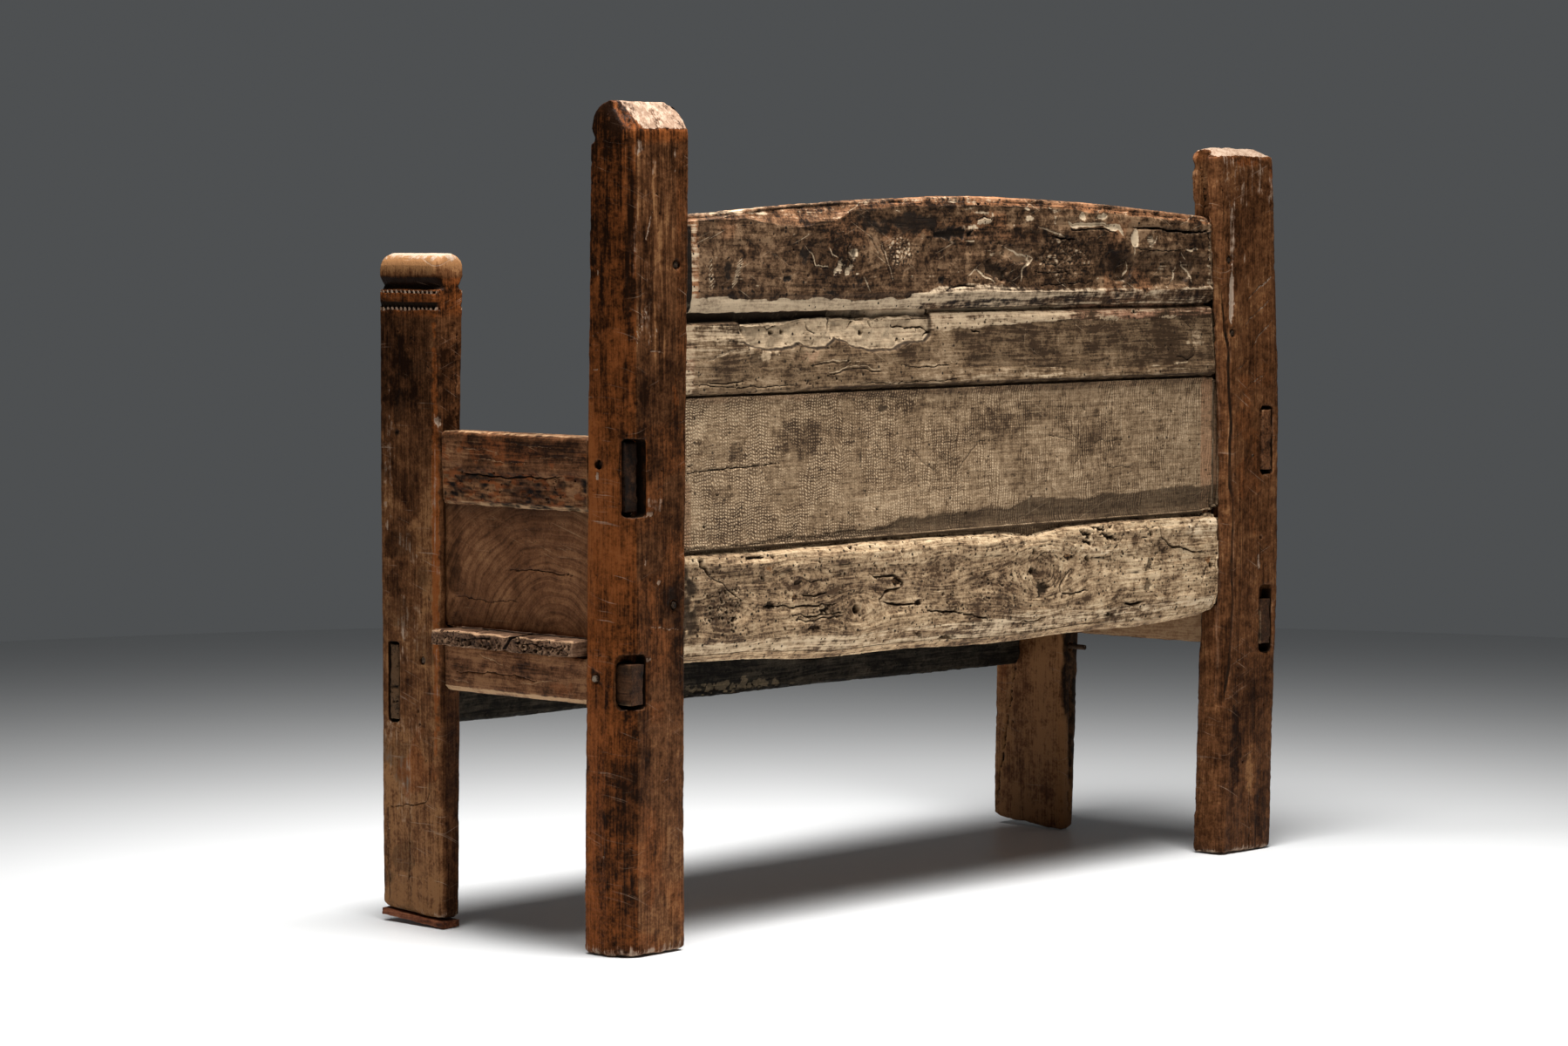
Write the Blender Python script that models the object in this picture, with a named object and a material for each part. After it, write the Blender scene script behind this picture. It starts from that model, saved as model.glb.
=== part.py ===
"""Rustic pegged bench: hewn posts, a back of stacked boards, arm rails over side panels and a plank seat.

Metres, +Z up. X runs along the bench, the front faces -Y, and the right end is at +X.
The posts are lofted from hewn sections, the rails are tenoned through them and pinned with wooden pegs.
"""

import math
from dataclasses import dataclass

import bmesh
import bpy
import numpy as np
from mathutils import Matrix, Vector

# Overall sizes
POST_SPAN = 1.477            # between the outer faces of the posts
DEPTH = 0.517                # front face of the left front post to rear face of the rear posts
SEAT_HEIGHT = 0.435          # top of the seat planks
ARM_ABOVE_SEAT = 0.280       # top of the arm rails above the seat
FIT = 0.0003                 # clearance where two pieces touch

# Rear posts: sizes at the foot, the seat, the arms and the head, right post and left post
REAR_POST_WIDTH = {1: (0.120, 0.121, 0.124, 0.131), -1: (0.138, 0.137, 0.139, 0.156)}
REAR_POST_BOW = {1: (0.0, 0.0, 0.0, 0.0), -1: (-0.006, 0.009, 0.007, -0.013)}
REAR_POST_DEPTH = {1: (0.088, 0.081, 0.077, 0.070), -1: (0.062, 0.062, 0.061, 0.058)}
REAR_POST_ABOVE_CREST = {1: 0.155, -1: 0.109}
REAR_POST_WANE = {1: (0.026, 0.042), -1: (0.014, 0.016)}
REAR_HEAD_ROLL = {1: 0.036, -1: 0.020}  # radius of the roll on the front of the head
REAR_HEAD_SLOPE = {1: 0.041, -1: 0.014}  # fall of the sloped rear of the head
REAR_HEAD_END = 0.020        # rounding of the head at its inner end
REAR_HEAD_RIDGE = 0.85       # share of the head behind the roll that the slope takes up

# Front posts: sizes at the foot, the seat, the arms and the head
FRONT_POST_THICK = {1: (0.036, 0.044, 0.048, 0.058), -1: (0.037, 0.058, 0.060, 0.064)}
FRONT_POST_INSET = {1: (0.0, 0.0, 0.0, 0.0), -1: (0.062, 0.037, 0.030, 0.026)}
FRONT_POST_DEPTH = {1: (0.132, 0.130, 0.128, 0.125), -1: (0.150, 0.147, 0.143, 0.136)}
FRONT_POST_SETBACK = {1: 0.012, -1: 0.0}  # the narrower right post stands behind the left one by this
FRONT_POST_ABOVE_ARM = 0.251
FRONT_FOOT_LIFT = {1: 0.008, -1: 0.010}  # the worn front edge of the foot clears the floor by this
SHIM_THICK = 0.0115          # strip nailed under the short right front post
SHIM_WIDTH = 0.034
HEAD_GROOVE = 0.011          # depth of the carved groove under the head
HEAD_BAND_GROOVE = 0.005     # depth of the second groove, under the band
HEAD_GROOVE_STEP = 0.0025    # the grooves step back out over this height
HEAD_COVE = 0.016            # height over which the roll draws in to the groove
FRONT_BAND = (0.053, 0.0723)  # upper and lower edge of the band, below the top of the post
REAR_BAND = {1: (0.0595, 0.0850), -1: (0.0385, 0.0525)}
FRONT_ROLL = 0.42            # radius of the rolled top as a share of the post's thickness
FRONT_ROLL_END = 0.3         # rounding of the rolled top at its ends, as a share of that radius
ARRIS = 0.006                # worn corners of the posts
ARRIS_FULLNESS = 0.36        # how near the middle of a worn corner comes to the sharp one, 0 to 0.5
ARRIS_MOST = 0.45            # share of a face that a worn corner may take up
FOOT_ROUNDING = 0.005

# Side frames
SIDE_SETBACK = 0.0255        # outer face of the rear posts to the middle of the side rails
SIDE_SPLAY = {1: 0.0, -1: 0.033}  # how far the front end of each side frame stands in
ARM_RAIL_HEIGHT = 0.107
ARM_RAIL_THICK = 0.045
SEAT_RAIL_HEIGHT = {1: 0.067, -1: 0.082}
SEAT_RAIL_THICK = 0.038
REAR_TENON_THICK = 0.027
FRONT_TENON_THICK = 0.016
FRONT_TENON_LENGTH = 0.056
TENON_SHOULDER = 0.004       # the rail stands this much above and below its tenon
ARM_TENON_RECESS = {1: 0.013, -1: 0.0005}  # ends of the through tenons below the face of the rear post
SEAT_TENON_RECESS = 0.001
MOUTH_DEPTH = 0.026          # the mortises are cut wider than their tenons at the rear face, this far in
# How much wider, arm and seat: towards the middle of the bench, outward, down and up
ARM_MOUTH = {1: (0.0035, 0.001, 0.004, 0.001), -1: (0.001, 0.001, 0.004, 0.004)}
SEAT_MOUTH = {1: (0.0015, 0.0065, 0.003, 0.011), -1: (0.001, 0.001, 0.010, 0.020)}
SIDE_PANEL_THICK = 0.014
SIDE_PANEL_OUTWARD = 0.0045  # middle of the panel outside the middle of the rails
SIDE_PANEL_TONGUE = 0.010    # how far the panel runs into its grooves
RAIL_CHAMFER = 0.008         # lower edges of the rails, where they show
ARM_ARRIS = 0.005            # worn upper edges of the arm rails
WORN = 0.002                 # slightly worn edges of the rails

# Front rail and seat
FRONT_RAIL_HEIGHT = {1: 0.129, -1: 0.140}  # it is deeper at its left end
FRONT_RAIL_THICK = 0.044
FRONT_RAIL_SETBACK = 0.019   # front of the bench to the front face of the rail
FRONT_RAIL_TENON_THICK = 0.022
FRONT_RAIL_TENON_DROP = 0.012  # the tenon stops this far above the underside of the rail
PLANK_THICK = 0.025
PLANK_OVERHANG = 0.0235      # seat planks past the outer faces of the rear posts
PLANK_GAP = 0.003
PLANK_BEVEL = 0.020          # the joint between the planks slants, the front one lies over the rear one
PLANK_FRONT_SETBACK = 0.010  # front of the bench to the front edge of the seat
REAR_PLANK_WIDTH = 0.130

# Back boards, from the seat up
LOWER_RAIL_DROP = 0.062      # underside of the lower back rail below the seat
LOWER_RAIL_HEIGHT = 0.178
LOWER_RAIL_THICK = 0.066
LOWER_RAIL_SETBACK = 0.014   # rear face of the posts to rear face of the rail
LOWER_RAIL_BELLY = 0.012     # its underside rises by this towards the ends
LOWER_RAIL_DIP = 0.010       # hollow in its live upper edge
LOWER_RAIL_DIP_X = -0.19
LOWER_RAIL_DIP_WIDTH = 0.045
LOWER_RAIL_WAVE = 0.002      # unevenness of both edges
LOWER_RAIL_WAVES = {"top": 9.0, "bottom": 14.0}  # radians per metre
LOWER_RAIL_ROUND = 0.036     # rounding of its lower rear edge
PANEL_HEIGHT = 0.2135
PANEL_THICK = 0.020
PANEL_SETBACK = 0.0225
PANEL_FIELD = 0.017          # width of the bevel along the top and the bottom of the panel
PANEL_END_FIELD = 0.033      # width of the bevel along its ends
PANEL_BEVEL = 0.0035         # fall of those bevels
UPPER_RAIL_HEIGHT = 0.113
UPPER_RAIL_THICK = 0.030
UPPER_RAIL_SETBACK = 0.0195
UPPER_RAIL_ARRIS = 0.010     # worn edges
CREST_HEIGHT = 0.1405        # at its ends
CREST_RISE = 0.029           # of the arched top in the middle
CREST_ARCH = 1.6             # 1 is a gable, 2 an arc
CREST_THICK = 0.034
CREST_SETBACK = 0.012
CREST_CHAMFER = 0.024        # height of the chamfer along its lower rear edge
CREST_ARRIS = 0.010          # worn upper edges
BOARD_GAP = 0.001
BOARD_TONGUE = 0.018         # tongues along the edges of the boards enter the next board by this
BOARD_TONGUE_THICK = 0.006
BOARD_TONGUE_SETBACK = 0.034  # rear face of the posts to the middle of those tongues
GROOVE_SETBACK = 0.032       # rear face of the posts to the middle of the groove for the boards
GROOVE_WIDTH = 0.012
GROOVE_DEPTH = 0.020
BOARD_TENON = 0.050          # length of the pinned tenons of the back rails

# Pegs
PEG_RADIUS = 0.0055
PEG_TAPER = 0.88             # radius of the tip as a share of the head's
PEG_SIDES = 8                # pegs are whittled, their holes are bored round
HOLE_SIDES = 12
PEG_SETBACK = 0.025          # pegs of the back boards from the inner face of the post
SIDE_PEG_SETBACK = 0.023     # pegs of the side rails from the shoulder in the rear post
FRONT_PEG_SETBACK = 0.040    # pegs of the seat rails from the shoulder in the front post
FRONT_PEG_RISE = 0.025       # pegs of the front rail above the underside of its tenon
PEG_TAIL = 0.030             # the left front peg stands out behind its post
PEG_SUNK = 0.003             # pegs driven below the surface
PEG_BROKEN = 0.009           # the broken peg of the right arm rail sits this deep
PEG_BLIND = 0.056            # depth of the holes for the pegs of the back boards
PEG_WALL = 0.005             # wood left at the blind end of a peg's hole
PEG_PAST = 0.002             # side pegs go this far past the tenon that they pin
CREST_PEG_RISE = 0.070       # pegs above the underside of the crest rail
UPPER_PEG_RISE = 0.068       # peg above the underside of the upper back rail
LOWER_PEG_DROP = 0.069       # pegs below the top of the lower back rail
ARM_PEG_DROP = 0.037         # pegs below the top of the arm rails
SEAT_PEG_DROP = 0.026        # pegs below the top of the seat rails

# Derived heights
SEAT_UNDERSIDE = SEAT_HEIGHT - PLANK_THICK
RAIL_TOP = SEAT_UNDERSIDE - FIT
ARM_TOP = SEAT_HEIGHT + ARM_ABOVE_SEAT
ARM_BOTTOM = ARM_TOP - ARM_RAIL_HEIGHT
FRONT_POST_TOP = ARM_TOP + FRONT_POST_ABOVE_ARM
LOWER_BOTTOM = SEAT_HEIGHT - LOWER_RAIL_DROP
LOWER_TOP = LOWER_BOTTOM + LOWER_RAIL_HEIGHT
PANEL_BOTTOM = LOWER_TOP + BOARD_GAP
PANEL_TOP = PANEL_BOTTOM + PANEL_HEIGHT
UPPER_BOTTOM = PANEL_TOP + BOARD_GAP
UPPER_TOP = UPPER_BOTTOM + UPPER_RAIL_HEIGHT
CREST_BOTTOM = UPPER_TOP + BOARD_GAP
CREST_END_TOP = CREST_BOTTOM + CREST_HEIGHT
REAR_POST_TOP = {side: CREST_END_TOP + rise for side, rise in REAR_POST_ABOVE_CREST.items()}
FRONT_RAIL_BOTTOM = {side: RAIL_TOP - height for side, height in FRONT_RAIL_HEIGHT.items()}

# Derived places
HALF_SPAN = POST_SPAN / 2
REAR_Y = DEPTH / 2
FRONT_Y = -DEPTH / 2
GROOVE_Y = REAR_Y - GROOVE_SETBACK
SIDE_NAMES = {1: "right", -1: "left"}

CUTTER_OVERSHOOT = 0.03
OUTLINE_STEPS = 16           # sections along a back board


# Mesh helpers
def loft(rings):
    """A closed solid through rings of equally many points."""
    bm = bmesh.new()
    loops = [[bm.verts.new(point) for point in ring] for ring in rings]
    count = len(loops[0])
    for low, high in zip(loops, loops[1:]):
        for i in range(count):
            j = (i + 1) % count
            bm.faces.new((low[i], low[j], high[j], high[i]))
    bm.faces.new(loops[0])
    bm.faces.new(loops[-1])
    bmesh.ops.remove_doubles(bm, verts=bm.verts, dist=1e-6)
    bmesh.ops.triangulate(bm, faces=bm.faces)  # hewn faces are warped, and a Boolean cuts flat ones
    return bm


def block(low, high):
    """A box between two corners."""
    bm = bmesh.new()
    bmesh.ops.create_cube(bm, size=1.0)
    low, high = Vector(low), Vector(high)
    bmesh.ops.scale(bm, vec=high - low, verts=bm.verts)
    bmesh.ops.translate(bm, vec=(low + high) / 2, verts=bm.verts)
    return bm


def rod(start, end, radius_start, radius_end, sides):
    """A round rod from start to end, tapered if its radii differ."""
    start, end = Vector(start), Vector(end)
    bm = bmesh.new()
    turn = (end - start).to_track_quat("Z", "Y").to_matrix().to_4x4()
    bmesh.ops.create_cone(
        bm, cap_ends=True, segments=sides, radius1=radius_start, radius2=radius_end,
        depth=(end - start).length, matrix=Matrix.Translation((start + end) / 2) @ turn)
    return bm


def chamfered(low_a, high_a, low_b, high_b, cuts):
    """A rectangle in (a, b) with cut corners: lower low-a, lower high-a, upper high-a, upper low-a."""
    first, second, third, fourth = cuts
    return [
        (low_a, low_b + first), (low_a + first, low_b),
        (high_a - second, low_b), (high_a, low_b + second),
        (high_a, high_b - third), (high_a - third, high_b),
        (low_a + fourth, high_b), (low_a, high_b - fourth)]


# Objects and materials: a finish is a colour and a roughness
FINISHES = {
    "waxed_post": ((0.075, 0.026, 0.012), 0.45),
    "waxed_rail": ((0.060, 0.026, 0.014), 0.5),
    "worn_seat": ((0.110, 0.066, 0.042), 0.75),
    "crest": ((0.125, 0.085, 0.055), 0.7),
    "dry_board": ((0.210, 0.150, 0.095), 0.75),
    "live_edge": ((0.270, 0.195, 0.125), 0.8),
    "dark_rail": ((0.030, 0.024, 0.018), 0.75),
    "fresh_shim": ((0.130, 0.038, 0.020), 0.6),
    "peg": ((0.055, 0.026, 0.014), 0.6)}

parts = None
cutters = None


def start_scene():
    global parts, cutters
    for old in list(bpy.data.objects):
        bpy.data.objects.remove(old, do_unlink=True)
    parts = bpy.data.collections.new("rustic_bench")
    cutters = bpy.data.collections.new("rustic_bench_cutters")
    bpy.context.scene.collection.children.link(parts)
    bpy.context.scene.collection.children.link(cutters)


def wood(name, finish):
    colour, roughness = FINISHES[finish]
    material = bpy.data.materials.new(name)
    material.use_nodes = True
    shader = material.node_tree.nodes["Principled BSDF"]
    shader.inputs["Base Color"].default_value = (*colour, 1.0)
    shader.inputs["Roughness"].default_value = roughness
    shader.inputs["Metallic"].default_value = 0.0
    return material


def to_object(name, bm, collection):
    mesh = bpy.data.meshes.new(name)
    bm.normal_update()
    bmesh.ops.recalc_face_normals(bm, faces=bm.faces)
    bm.to_mesh(mesh)
    bm.free()
    item = bpy.data.objects.new(name, mesh)
    collection.objects.link(item)
    return item


def piece(name, bm, finish):
    item = to_object(name, bm, parts)
    item.data.materials.append(wood(f"{name}_wood", finish))
    return item


def boolean(target, bm, operation, name):
    helper = to_object(f"{target.name}.{name}", bm, cutters)
    helper.hide_render = True
    helper.display_type = "WIRE"
    modifier = target.modifiers.new(name, "BOOLEAN")
    modifier.operation = operation
    modifier.solver = "EXACT"
    modifier.object = helper


def cut(target, bm, name):
    boolean(target, bm, "DIFFERENCE", name)


def join(target, bm, name):
    boolean(target, bm, "UNION", name)


# Posts
@dataclass
class Post:
    """A hewn post, given by its faces at a few levels. Outward distances start at the bench's middle."""

    side: int
    levels: tuple
    outer: tuple
    width: tuple
    front: tuple
    rear: tuple
    wane: tuple
    wane_on_outer: bool

    def at(self, values, z):
        return float(np.interp(z, self.levels, values))

    def outer_x(self, z):
        return self.side * self.at(self.outer, z)

    def inner(self, z):
        """Distance of the inner face from the bench's middle."""
        return self.at(self.outer, z) - self.at(self.width, z)

    def inner_least(self, low, high):
        return min(self.inner(z) for z in np.linspace(low, high, 9))

    def front_y(self, z):
        return self.at(self.front, z)

    def rear_y(self, z):
        return self.at(self.rear, z)

    def ring(self, z, inner=0.0, outer=0.0, front=0.0, rear=0.0, tilt=None):
        """The section at height z, drawn in by the given amounts, with its worn corners."""
        a0, a1 = self.inner(z) + inner, self.at(self.outer, z) - outer
        b0, b1 = self.front_y(z) + front, self.rear_y(z) - rear
        across, along = (a1 - a0) * ARRIS_MOST, (b1 - b0) * ARRIS_MOST
        wane = (min(self.wane[0], across), min(self.wane[1], along))
        worn = (min(ARRIS, across), min(ARRIS, along))
        rear_outer, rear_inner = (wane, worn) if self.wane_on_outer else (worn, wane)
        points = []
        for (a, b), (da, db), (turn_a, turn_b) in (
                ((a0, b0), worn, (1, 1)), ((a1, b0), worn, (-1, 1)),
                ((a1, b1), rear_outer, (-1, -1)), ((a0, b1), rear_inner, (1, -1))):
            on_front_or_rear = (a + turn_a * da, b)
            on_side = (a, b + turn_b * db)
            middle = (a + turn_a * da * ARRIS_FULLNESS, b + turn_b * db * ARRIS_FULLNESS)
            corner = [on_side, middle, on_front_or_rear]
            points += corner if turn_a * turn_b > 0 else corner[::-1]
        lift = tilt or (lambda y: 0.0)
        return [(self.side * a, b, z + lift(b)) for a, b in points]


def rear_post_shape(side):
    top = REAR_POST_TOP[side]
    return Post(
        side=side,
        levels=(0.0, SEAT_HEIGHT, ARM_TOP, top),
        outer=tuple(HALF_SPAN + bow for bow in REAR_POST_BOW[side]),
        width=REAR_POST_WIDTH[side],
        front=tuple(REAR_Y - depth for depth in REAR_POST_DEPTH[side]),
        rear=(REAR_Y,) * 4,
        wane=REAR_POST_WANE[side],
        wane_on_outer=side > 0)


def front_post_shape(side):
    return Post(
        side=side,
        levels=(0.0, SEAT_HEIGHT, ARM_TOP, FRONT_POST_TOP),
        outer=tuple(HALF_SPAN - inset for inset in FRONT_POST_INSET[side]),
        width=FRONT_POST_THICK[side],
        front=(FRONT_Y + FRONT_POST_SETBACK[side],) * 4,
        rear=tuple(FRONT_Y + FRONT_POST_SETBACK[side] + depth for depth in FRONT_POST_DEPTH[side]),
        wane=(ARRIS * 1.5, ARRIS * 1.5),
        wane_on_outer=True)


REAR_POST = {side: rear_post_shape(side) for side in SIDE_NAMES}
FRONT_POST = {side: front_post_shape(side) for side in SIDE_NAMES}

ROLL_STEPS = 6


def head_carving(top, band):
    """The carved head below its rounded top, from below: heights, and the depth of the cut there."""
    upper, lower = (top - below for below in band)
    groove = upper + HEAD_GROOVE_STEP
    return (
        (lower - HEAD_GROOVE_STEP * 2, 0.0), (lower - HEAD_GROOVE_STEP, HEAD_BAND_GROOVE), (lower, 0.0),
        (upper, 0.0), (groove, HEAD_GROOVE), (groove + HEAD_COVE * 0.5, HEAD_GROOVE * 0.4),
        (groove + HEAD_COVE, 0.0))


def rear_post_rings(post):
    top = post.levels[-1]
    roll = REAR_HEAD_ROLL[post.side]
    roll_start = top - roll
    slope = REAR_HEAD_SLOPE[post.side]

    def drawn_in_behind(z):
        depth_left = post.rear_y(z) - post.front_y(z) - roll
        return max(0.0, z - top + slope) / slope * depth_left * REAR_HEAD_RIDGE

    rings = [post.ring(0.0, *(FOOT_ROUNDING / 2,) * 4), post.ring(FOOT_ROUNDING)]
    rings += [post.ring(z) for z in post.levels[1:-1]]
    carving = [level for level in head_carving(top, REAR_BAND[post.side]) if level[0] < roll_start]
    rings += [post.ring(z, front=depth, rear=drawn_in_behind(z)) for z, depth in carving]
    for step in range(ROLL_STEPS + 1):
        angle = math.pi / 2 * step / ROLL_STEPS
        z = roll_start + roll * math.sin(angle)
        drawn_in = roll * (1 - math.cos(angle))
        end = min(1.0, max(0.0, z - (top - REAR_HEAD_END)) / REAR_HEAD_END)
        rings.append(post.ring(
            z, front=drawn_in, rear=drawn_in_behind(z),
            inner=REAR_HEAD_END * (1 - math.sqrt(1 - end * end)), outer=ARRIS * end))
    return rings


def foot_plane(post):
    """Height of a front post's foot over its depth: worn short in front, and on a shim at the right."""
    base = SHIM_THICK + FIT if post.side > 0 else 0.0
    depth = FRONT_POST_DEPTH[post.side][0]
    return lambda y: base + FRONT_FOOT_LIFT[post.side] * (post.rear_y(0.0) - y) / depth


def front_post_rings(post):
    top = post.levels[-1]
    roll = post.at(post.width, top) * FRONT_ROLL
    roll_start = top - roll
    foot = foot_plane(post)
    rings = [post.ring(0.0, *(FOOT_ROUNDING,) * 4, tilt=foot), post.ring(FOOT_ROUNDING * 1.5, tilt=foot)]
    rings += [post.ring(z) for z in post.levels[1:-1]]
    rings += [post.ring(z, inner=depth, outer=depth) for z, depth in head_carving(top, FRONT_BAND)]
    for step in range(ROLL_STEPS + 1):
        angle = math.pi / 2 * step / ROLL_STEPS
        z = roll_start + roll * math.sin(angle)
        drawn_in = roll * (1 - math.cos(angle))
        end = drawn_in * FRONT_ROLL_END
        rings.append(post.ring(z, inner=drawn_in, outer=drawn_in, front=end, rear=end))
    return rings


# Side frames: u is measured outward from the middle plane of a side's rails
def side_axis(side, y):
    return HALF_SPAN - SIDE_SETBACK - SIDE_SPLAY[side] * (REAR_Y - y) / DEPTH


def side_block(side, low, high):
    """A box in (u, y, z) of one side frame."""
    bm = block(low, high)
    for vert in bm.verts:
        vert.co.x = side * (side_axis(side, vert.co.y) + vert.co.x)
    return bm


def side_rail_body(side, thick, bottom, top, cuts):
    """The stretch of a rail between its shoulders."""
    section = chamfered(-thick / 2, thick / 2, bottom, top, cuts)
    front, rear = FRONT_POST[side], REAR_POST[side]
    rings = []
    for shoulder in (lambda z: front.rear_y(z) + FIT, lambda z: rear.front_y(z) - FIT):
        ring = [(u, shoulder(z), z) for u, z in section]
        rings.append([(side * (side_axis(side, y) + u), y, z) for u, y, z in ring])
    return loft(rings)


def grown(low, high, by):
    """A box's corners, moved outward by a clearance."""
    return tuple(a - by for a in low), tuple(a + by for a in high)


def rear_tenon(side, bottom, top, recess):
    """Corners, in (u, y, z), of the tenon that goes right through the rear post."""
    start = REAR_POST[side].front_y(top) - CUTTER_OVERSHOOT
    half = REAR_TENON_THICK / 2
    return (
        (-half, start, bottom + TENON_SHOULDER),
        (half, REAR_Y - recess, top - TENON_SHOULDER))


def mortise_mouth(tenon, wider):
    """Corners of the wider end of a through mortise, round its tenon, at the rear face of the post."""
    (low_u, _, low_z), (high_u, _, high_z) = tenon
    inward, outward, down, up = wider
    return (
        (low_u - inward, REAR_Y - MOUTH_DEPTH, low_z - down),
        (high_u + outward, REAR_Y + CUTTER_OVERSHOOT, high_z + up))


def front_tenon(side, bottom, top):
    """Corners of the blind tenon in the front post."""
    shoulder = FRONT_POST[side].rear_y(top)
    half = FRONT_TENON_THICK / 2
    return (
        (-half, shoulder - FRONT_TENON_LENGTH, bottom + TENON_SHOULDER * 2),
        (half, shoulder + CUTTER_OVERSHOOT, top - TENON_SHOULDER * 2))


def panel_corners(side):
    front, rear = FRONT_POST[side], REAR_POST[side]
    half = SIDE_PANEL_THICK / 2
    low_y = front.rear_y(SEAT_HEIGHT) - SIDE_PANEL_TONGUE
    high_y = rear.front_y(SEAT_HEIGHT) + SIDE_PANEL_TONGUE
    return (
        (SIDE_PANEL_OUTWARD - half, low_y, SEAT_HEIGHT + FIT),
        (SIDE_PANEL_OUTWARD + half, high_y, ARM_BOTTOM + SIDE_PANEL_TONGUE))


def panel_groove(side):
    """The groove round the panel: it runs down to the seat's underside, where the planks close it."""
    low, high = grown(*panel_corners(side), FIT)
    return (low[0], low[1], low[2] - FIT), high


# Back boards
def crest_top(x):
    return CREST_END_TOP + CREST_RISE * (1 - abs(x / HALF_SPAN) ** CREST_ARCH)


def lower_top(x):
    """The live upper edge, with a shallow dip left of the middle."""
    dip = LOWER_RAIL_DIP * math.exp(-((x - LOWER_RAIL_DIP_X) / LOWER_RAIL_DIP_WIDTH) ** 2)
    return LOWER_TOP - dip + LOWER_RAIL_WAVE * (math.sin(LOWER_RAIL_WAVES["top"] * x) - 1)


def lower_bottom(x):
    """The bellied underside, lowest below the dip."""
    rise = LOWER_RAIL_BELLY * ((x - LOWER_RAIL_DIP_X) / HALF_SPAN) ** 2
    return LOWER_BOTTOM + rise + LOWER_RAIL_WAVE * math.sin(LOWER_RAIL_WAVES["bottom"] * x)


def back_board(section):
    """A board between the rear posts. section(x) lists its (y, z) corners."""
    rings = []
    for x in np.linspace(-1.0, 1.0, OUTLINE_STEPS + 1):
        side = 1 if x > 0 else -1
        ring = []
        for y, z in section(x * HALF_SPAN):
            reach = REAR_POST[side].inner(z) - FIT
            ring.append((x * reach, y, z))
        rings.append(ring)
    return loft(rings)


def crest_section(x):
    rear, front = REAR_Y - CREST_SETBACK, REAR_Y - CREST_SETBACK - CREST_THICK
    top = crest_top(x)
    return [
        (front, CREST_BOTTOM), (rear - CREST_CHAMFER / 2, CREST_BOTTOM),
        (rear, CREST_BOTTOM + CREST_CHAMFER),
        (rear, top - CREST_ARRIS), (rear - CREST_ARRIS * 0.8, top - CREST_ARRIS * 0.2),
        (front + CREST_ARRIS, top), (front, top - CREST_ARRIS)]


def upper_section(x):
    rear, front = REAR_Y - UPPER_RAIL_SETBACK, REAR_Y - UPPER_RAIL_SETBACK - UPPER_RAIL_THICK
    worn = UPPER_RAIL_ARRIS
    return [
        (front, UPPER_BOTTOM), (rear - worn / 2, UPPER_BOTTOM), (rear, UPPER_BOTTOM + worn / 2),
        (rear, UPPER_TOP - worn), (rear - worn * 0.4, UPPER_TOP - worn * 0.3), (rear - worn, UPPER_TOP),
        (front, UPPER_TOP)]


def lower_section(x):
    rear, front = REAR_Y - LOWER_RAIL_SETBACK, REAR_Y - LOWER_RAIL_SETBACK - LOWER_RAIL_THICK
    low, high = lower_bottom(x), lower_top(x)
    bend, worn = LOWER_RAIL_ROUND, LOWER_RAIL_ROUND / 2
    return [
        (front, low + worn * 0.7), (front + worn * 0.7, low), (rear - bend * 0.85, low),
        (rear - bend * 0.3, low + bend * 0.3), (rear - bend * 0.05, low + bend), (rear, high - worn),
        (rear - worn * 0.3, high - worn * 0.25), (rear - worn, high), (front, high - worn * 0.25)]


def edge_tongue(edge):
    """Corners of the tongue along the edge of a back board, at that height, which enters the next board."""
    reach = {side: post.inner_least(LOWER_TOP, CREST_END_TOP) - FIT for side, post in REAR_POST.items()}
    y, half = REAR_Y - BOARD_TONGUE_SETBACK, BOARD_TONGUE_THICK / 2
    return (-reach[-1], y - half, edge - BOARD_TONGUE), (reach[1], y + half, edge + BOARD_TONGUE)


@dataclass
class Board:
    """A back board's height range at the posts and the reach of its tongue past the shoulder."""

    bottom: float
    top: float
    reach: float

    def tongue(self, side):
        """Corners of the tongue, or tenon, that enters the groove of one rear post."""
        post = REAR_POST[side]
        low, high = self.bottom + TENON_SHOULDER, self.top - TENON_SHOULDER
        half = GROOVE_WIDTH / 2 - FIT
        start = post.inner_least(low, high) - CUTTER_OVERSHOOT
        end = post.inner_least(low, high) + self.reach
        xs = sorted((side * start, side * end))
        return (xs[0], GROOVE_Y - half, low), (xs[1], GROOVE_Y + half, high)


CREST = Board(CREST_BOTTOM, CREST_END_TOP - CREST_ARRIS, BOARD_TENON)
UPPER = Board(UPPER_BOTTOM, UPPER_TOP, BOARD_TENON)
PANEL = Board(PANEL_BOTTOM, PANEL_TOP, GROOVE_DEPTH - FIT * 2)
LOWER = Board(LOWER_BOTTOM + LOWER_RAIL_BELLY * 2, LOWER_TOP - LOWER_RAIL_WAVE * 4, BOARD_TENON)
TENONED_BOARDS = {"crest": CREST, "upper": UPPER, "lower": LOWER}


def board_groove(side):
    """The groove down the inner face of a rear post, open at the head, bottoming at an even depth."""
    post = REAR_POST[side]
    foot = LOWER.bottom + TENON_SHOULDER - FIT
    rings = []
    for z in (foot, *[level for level in post.levels if level > foot], post.levels[-1] + CUTTER_OVERSHOOT):
        inside, bottom = post.inner(z) - CUTTER_OVERSHOOT, post.inner(z) + GROOVE_DEPTH
        rings.append([
            (side * x, GROOVE_Y + half * GROOVE_WIDTH / 2, z)
            for x, half in ((inside, -1), (bottom, -1), (bottom, 1), (inside, 1))])
    return loft(rings)


# Pegs
def peg_hole(start, end):
    radius = (PEG_RADIUS + FIT) / math.cos(math.pi / HOLE_SIDES)
    return rod(start, end, radius, radius, HOLE_SIDES)


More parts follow.
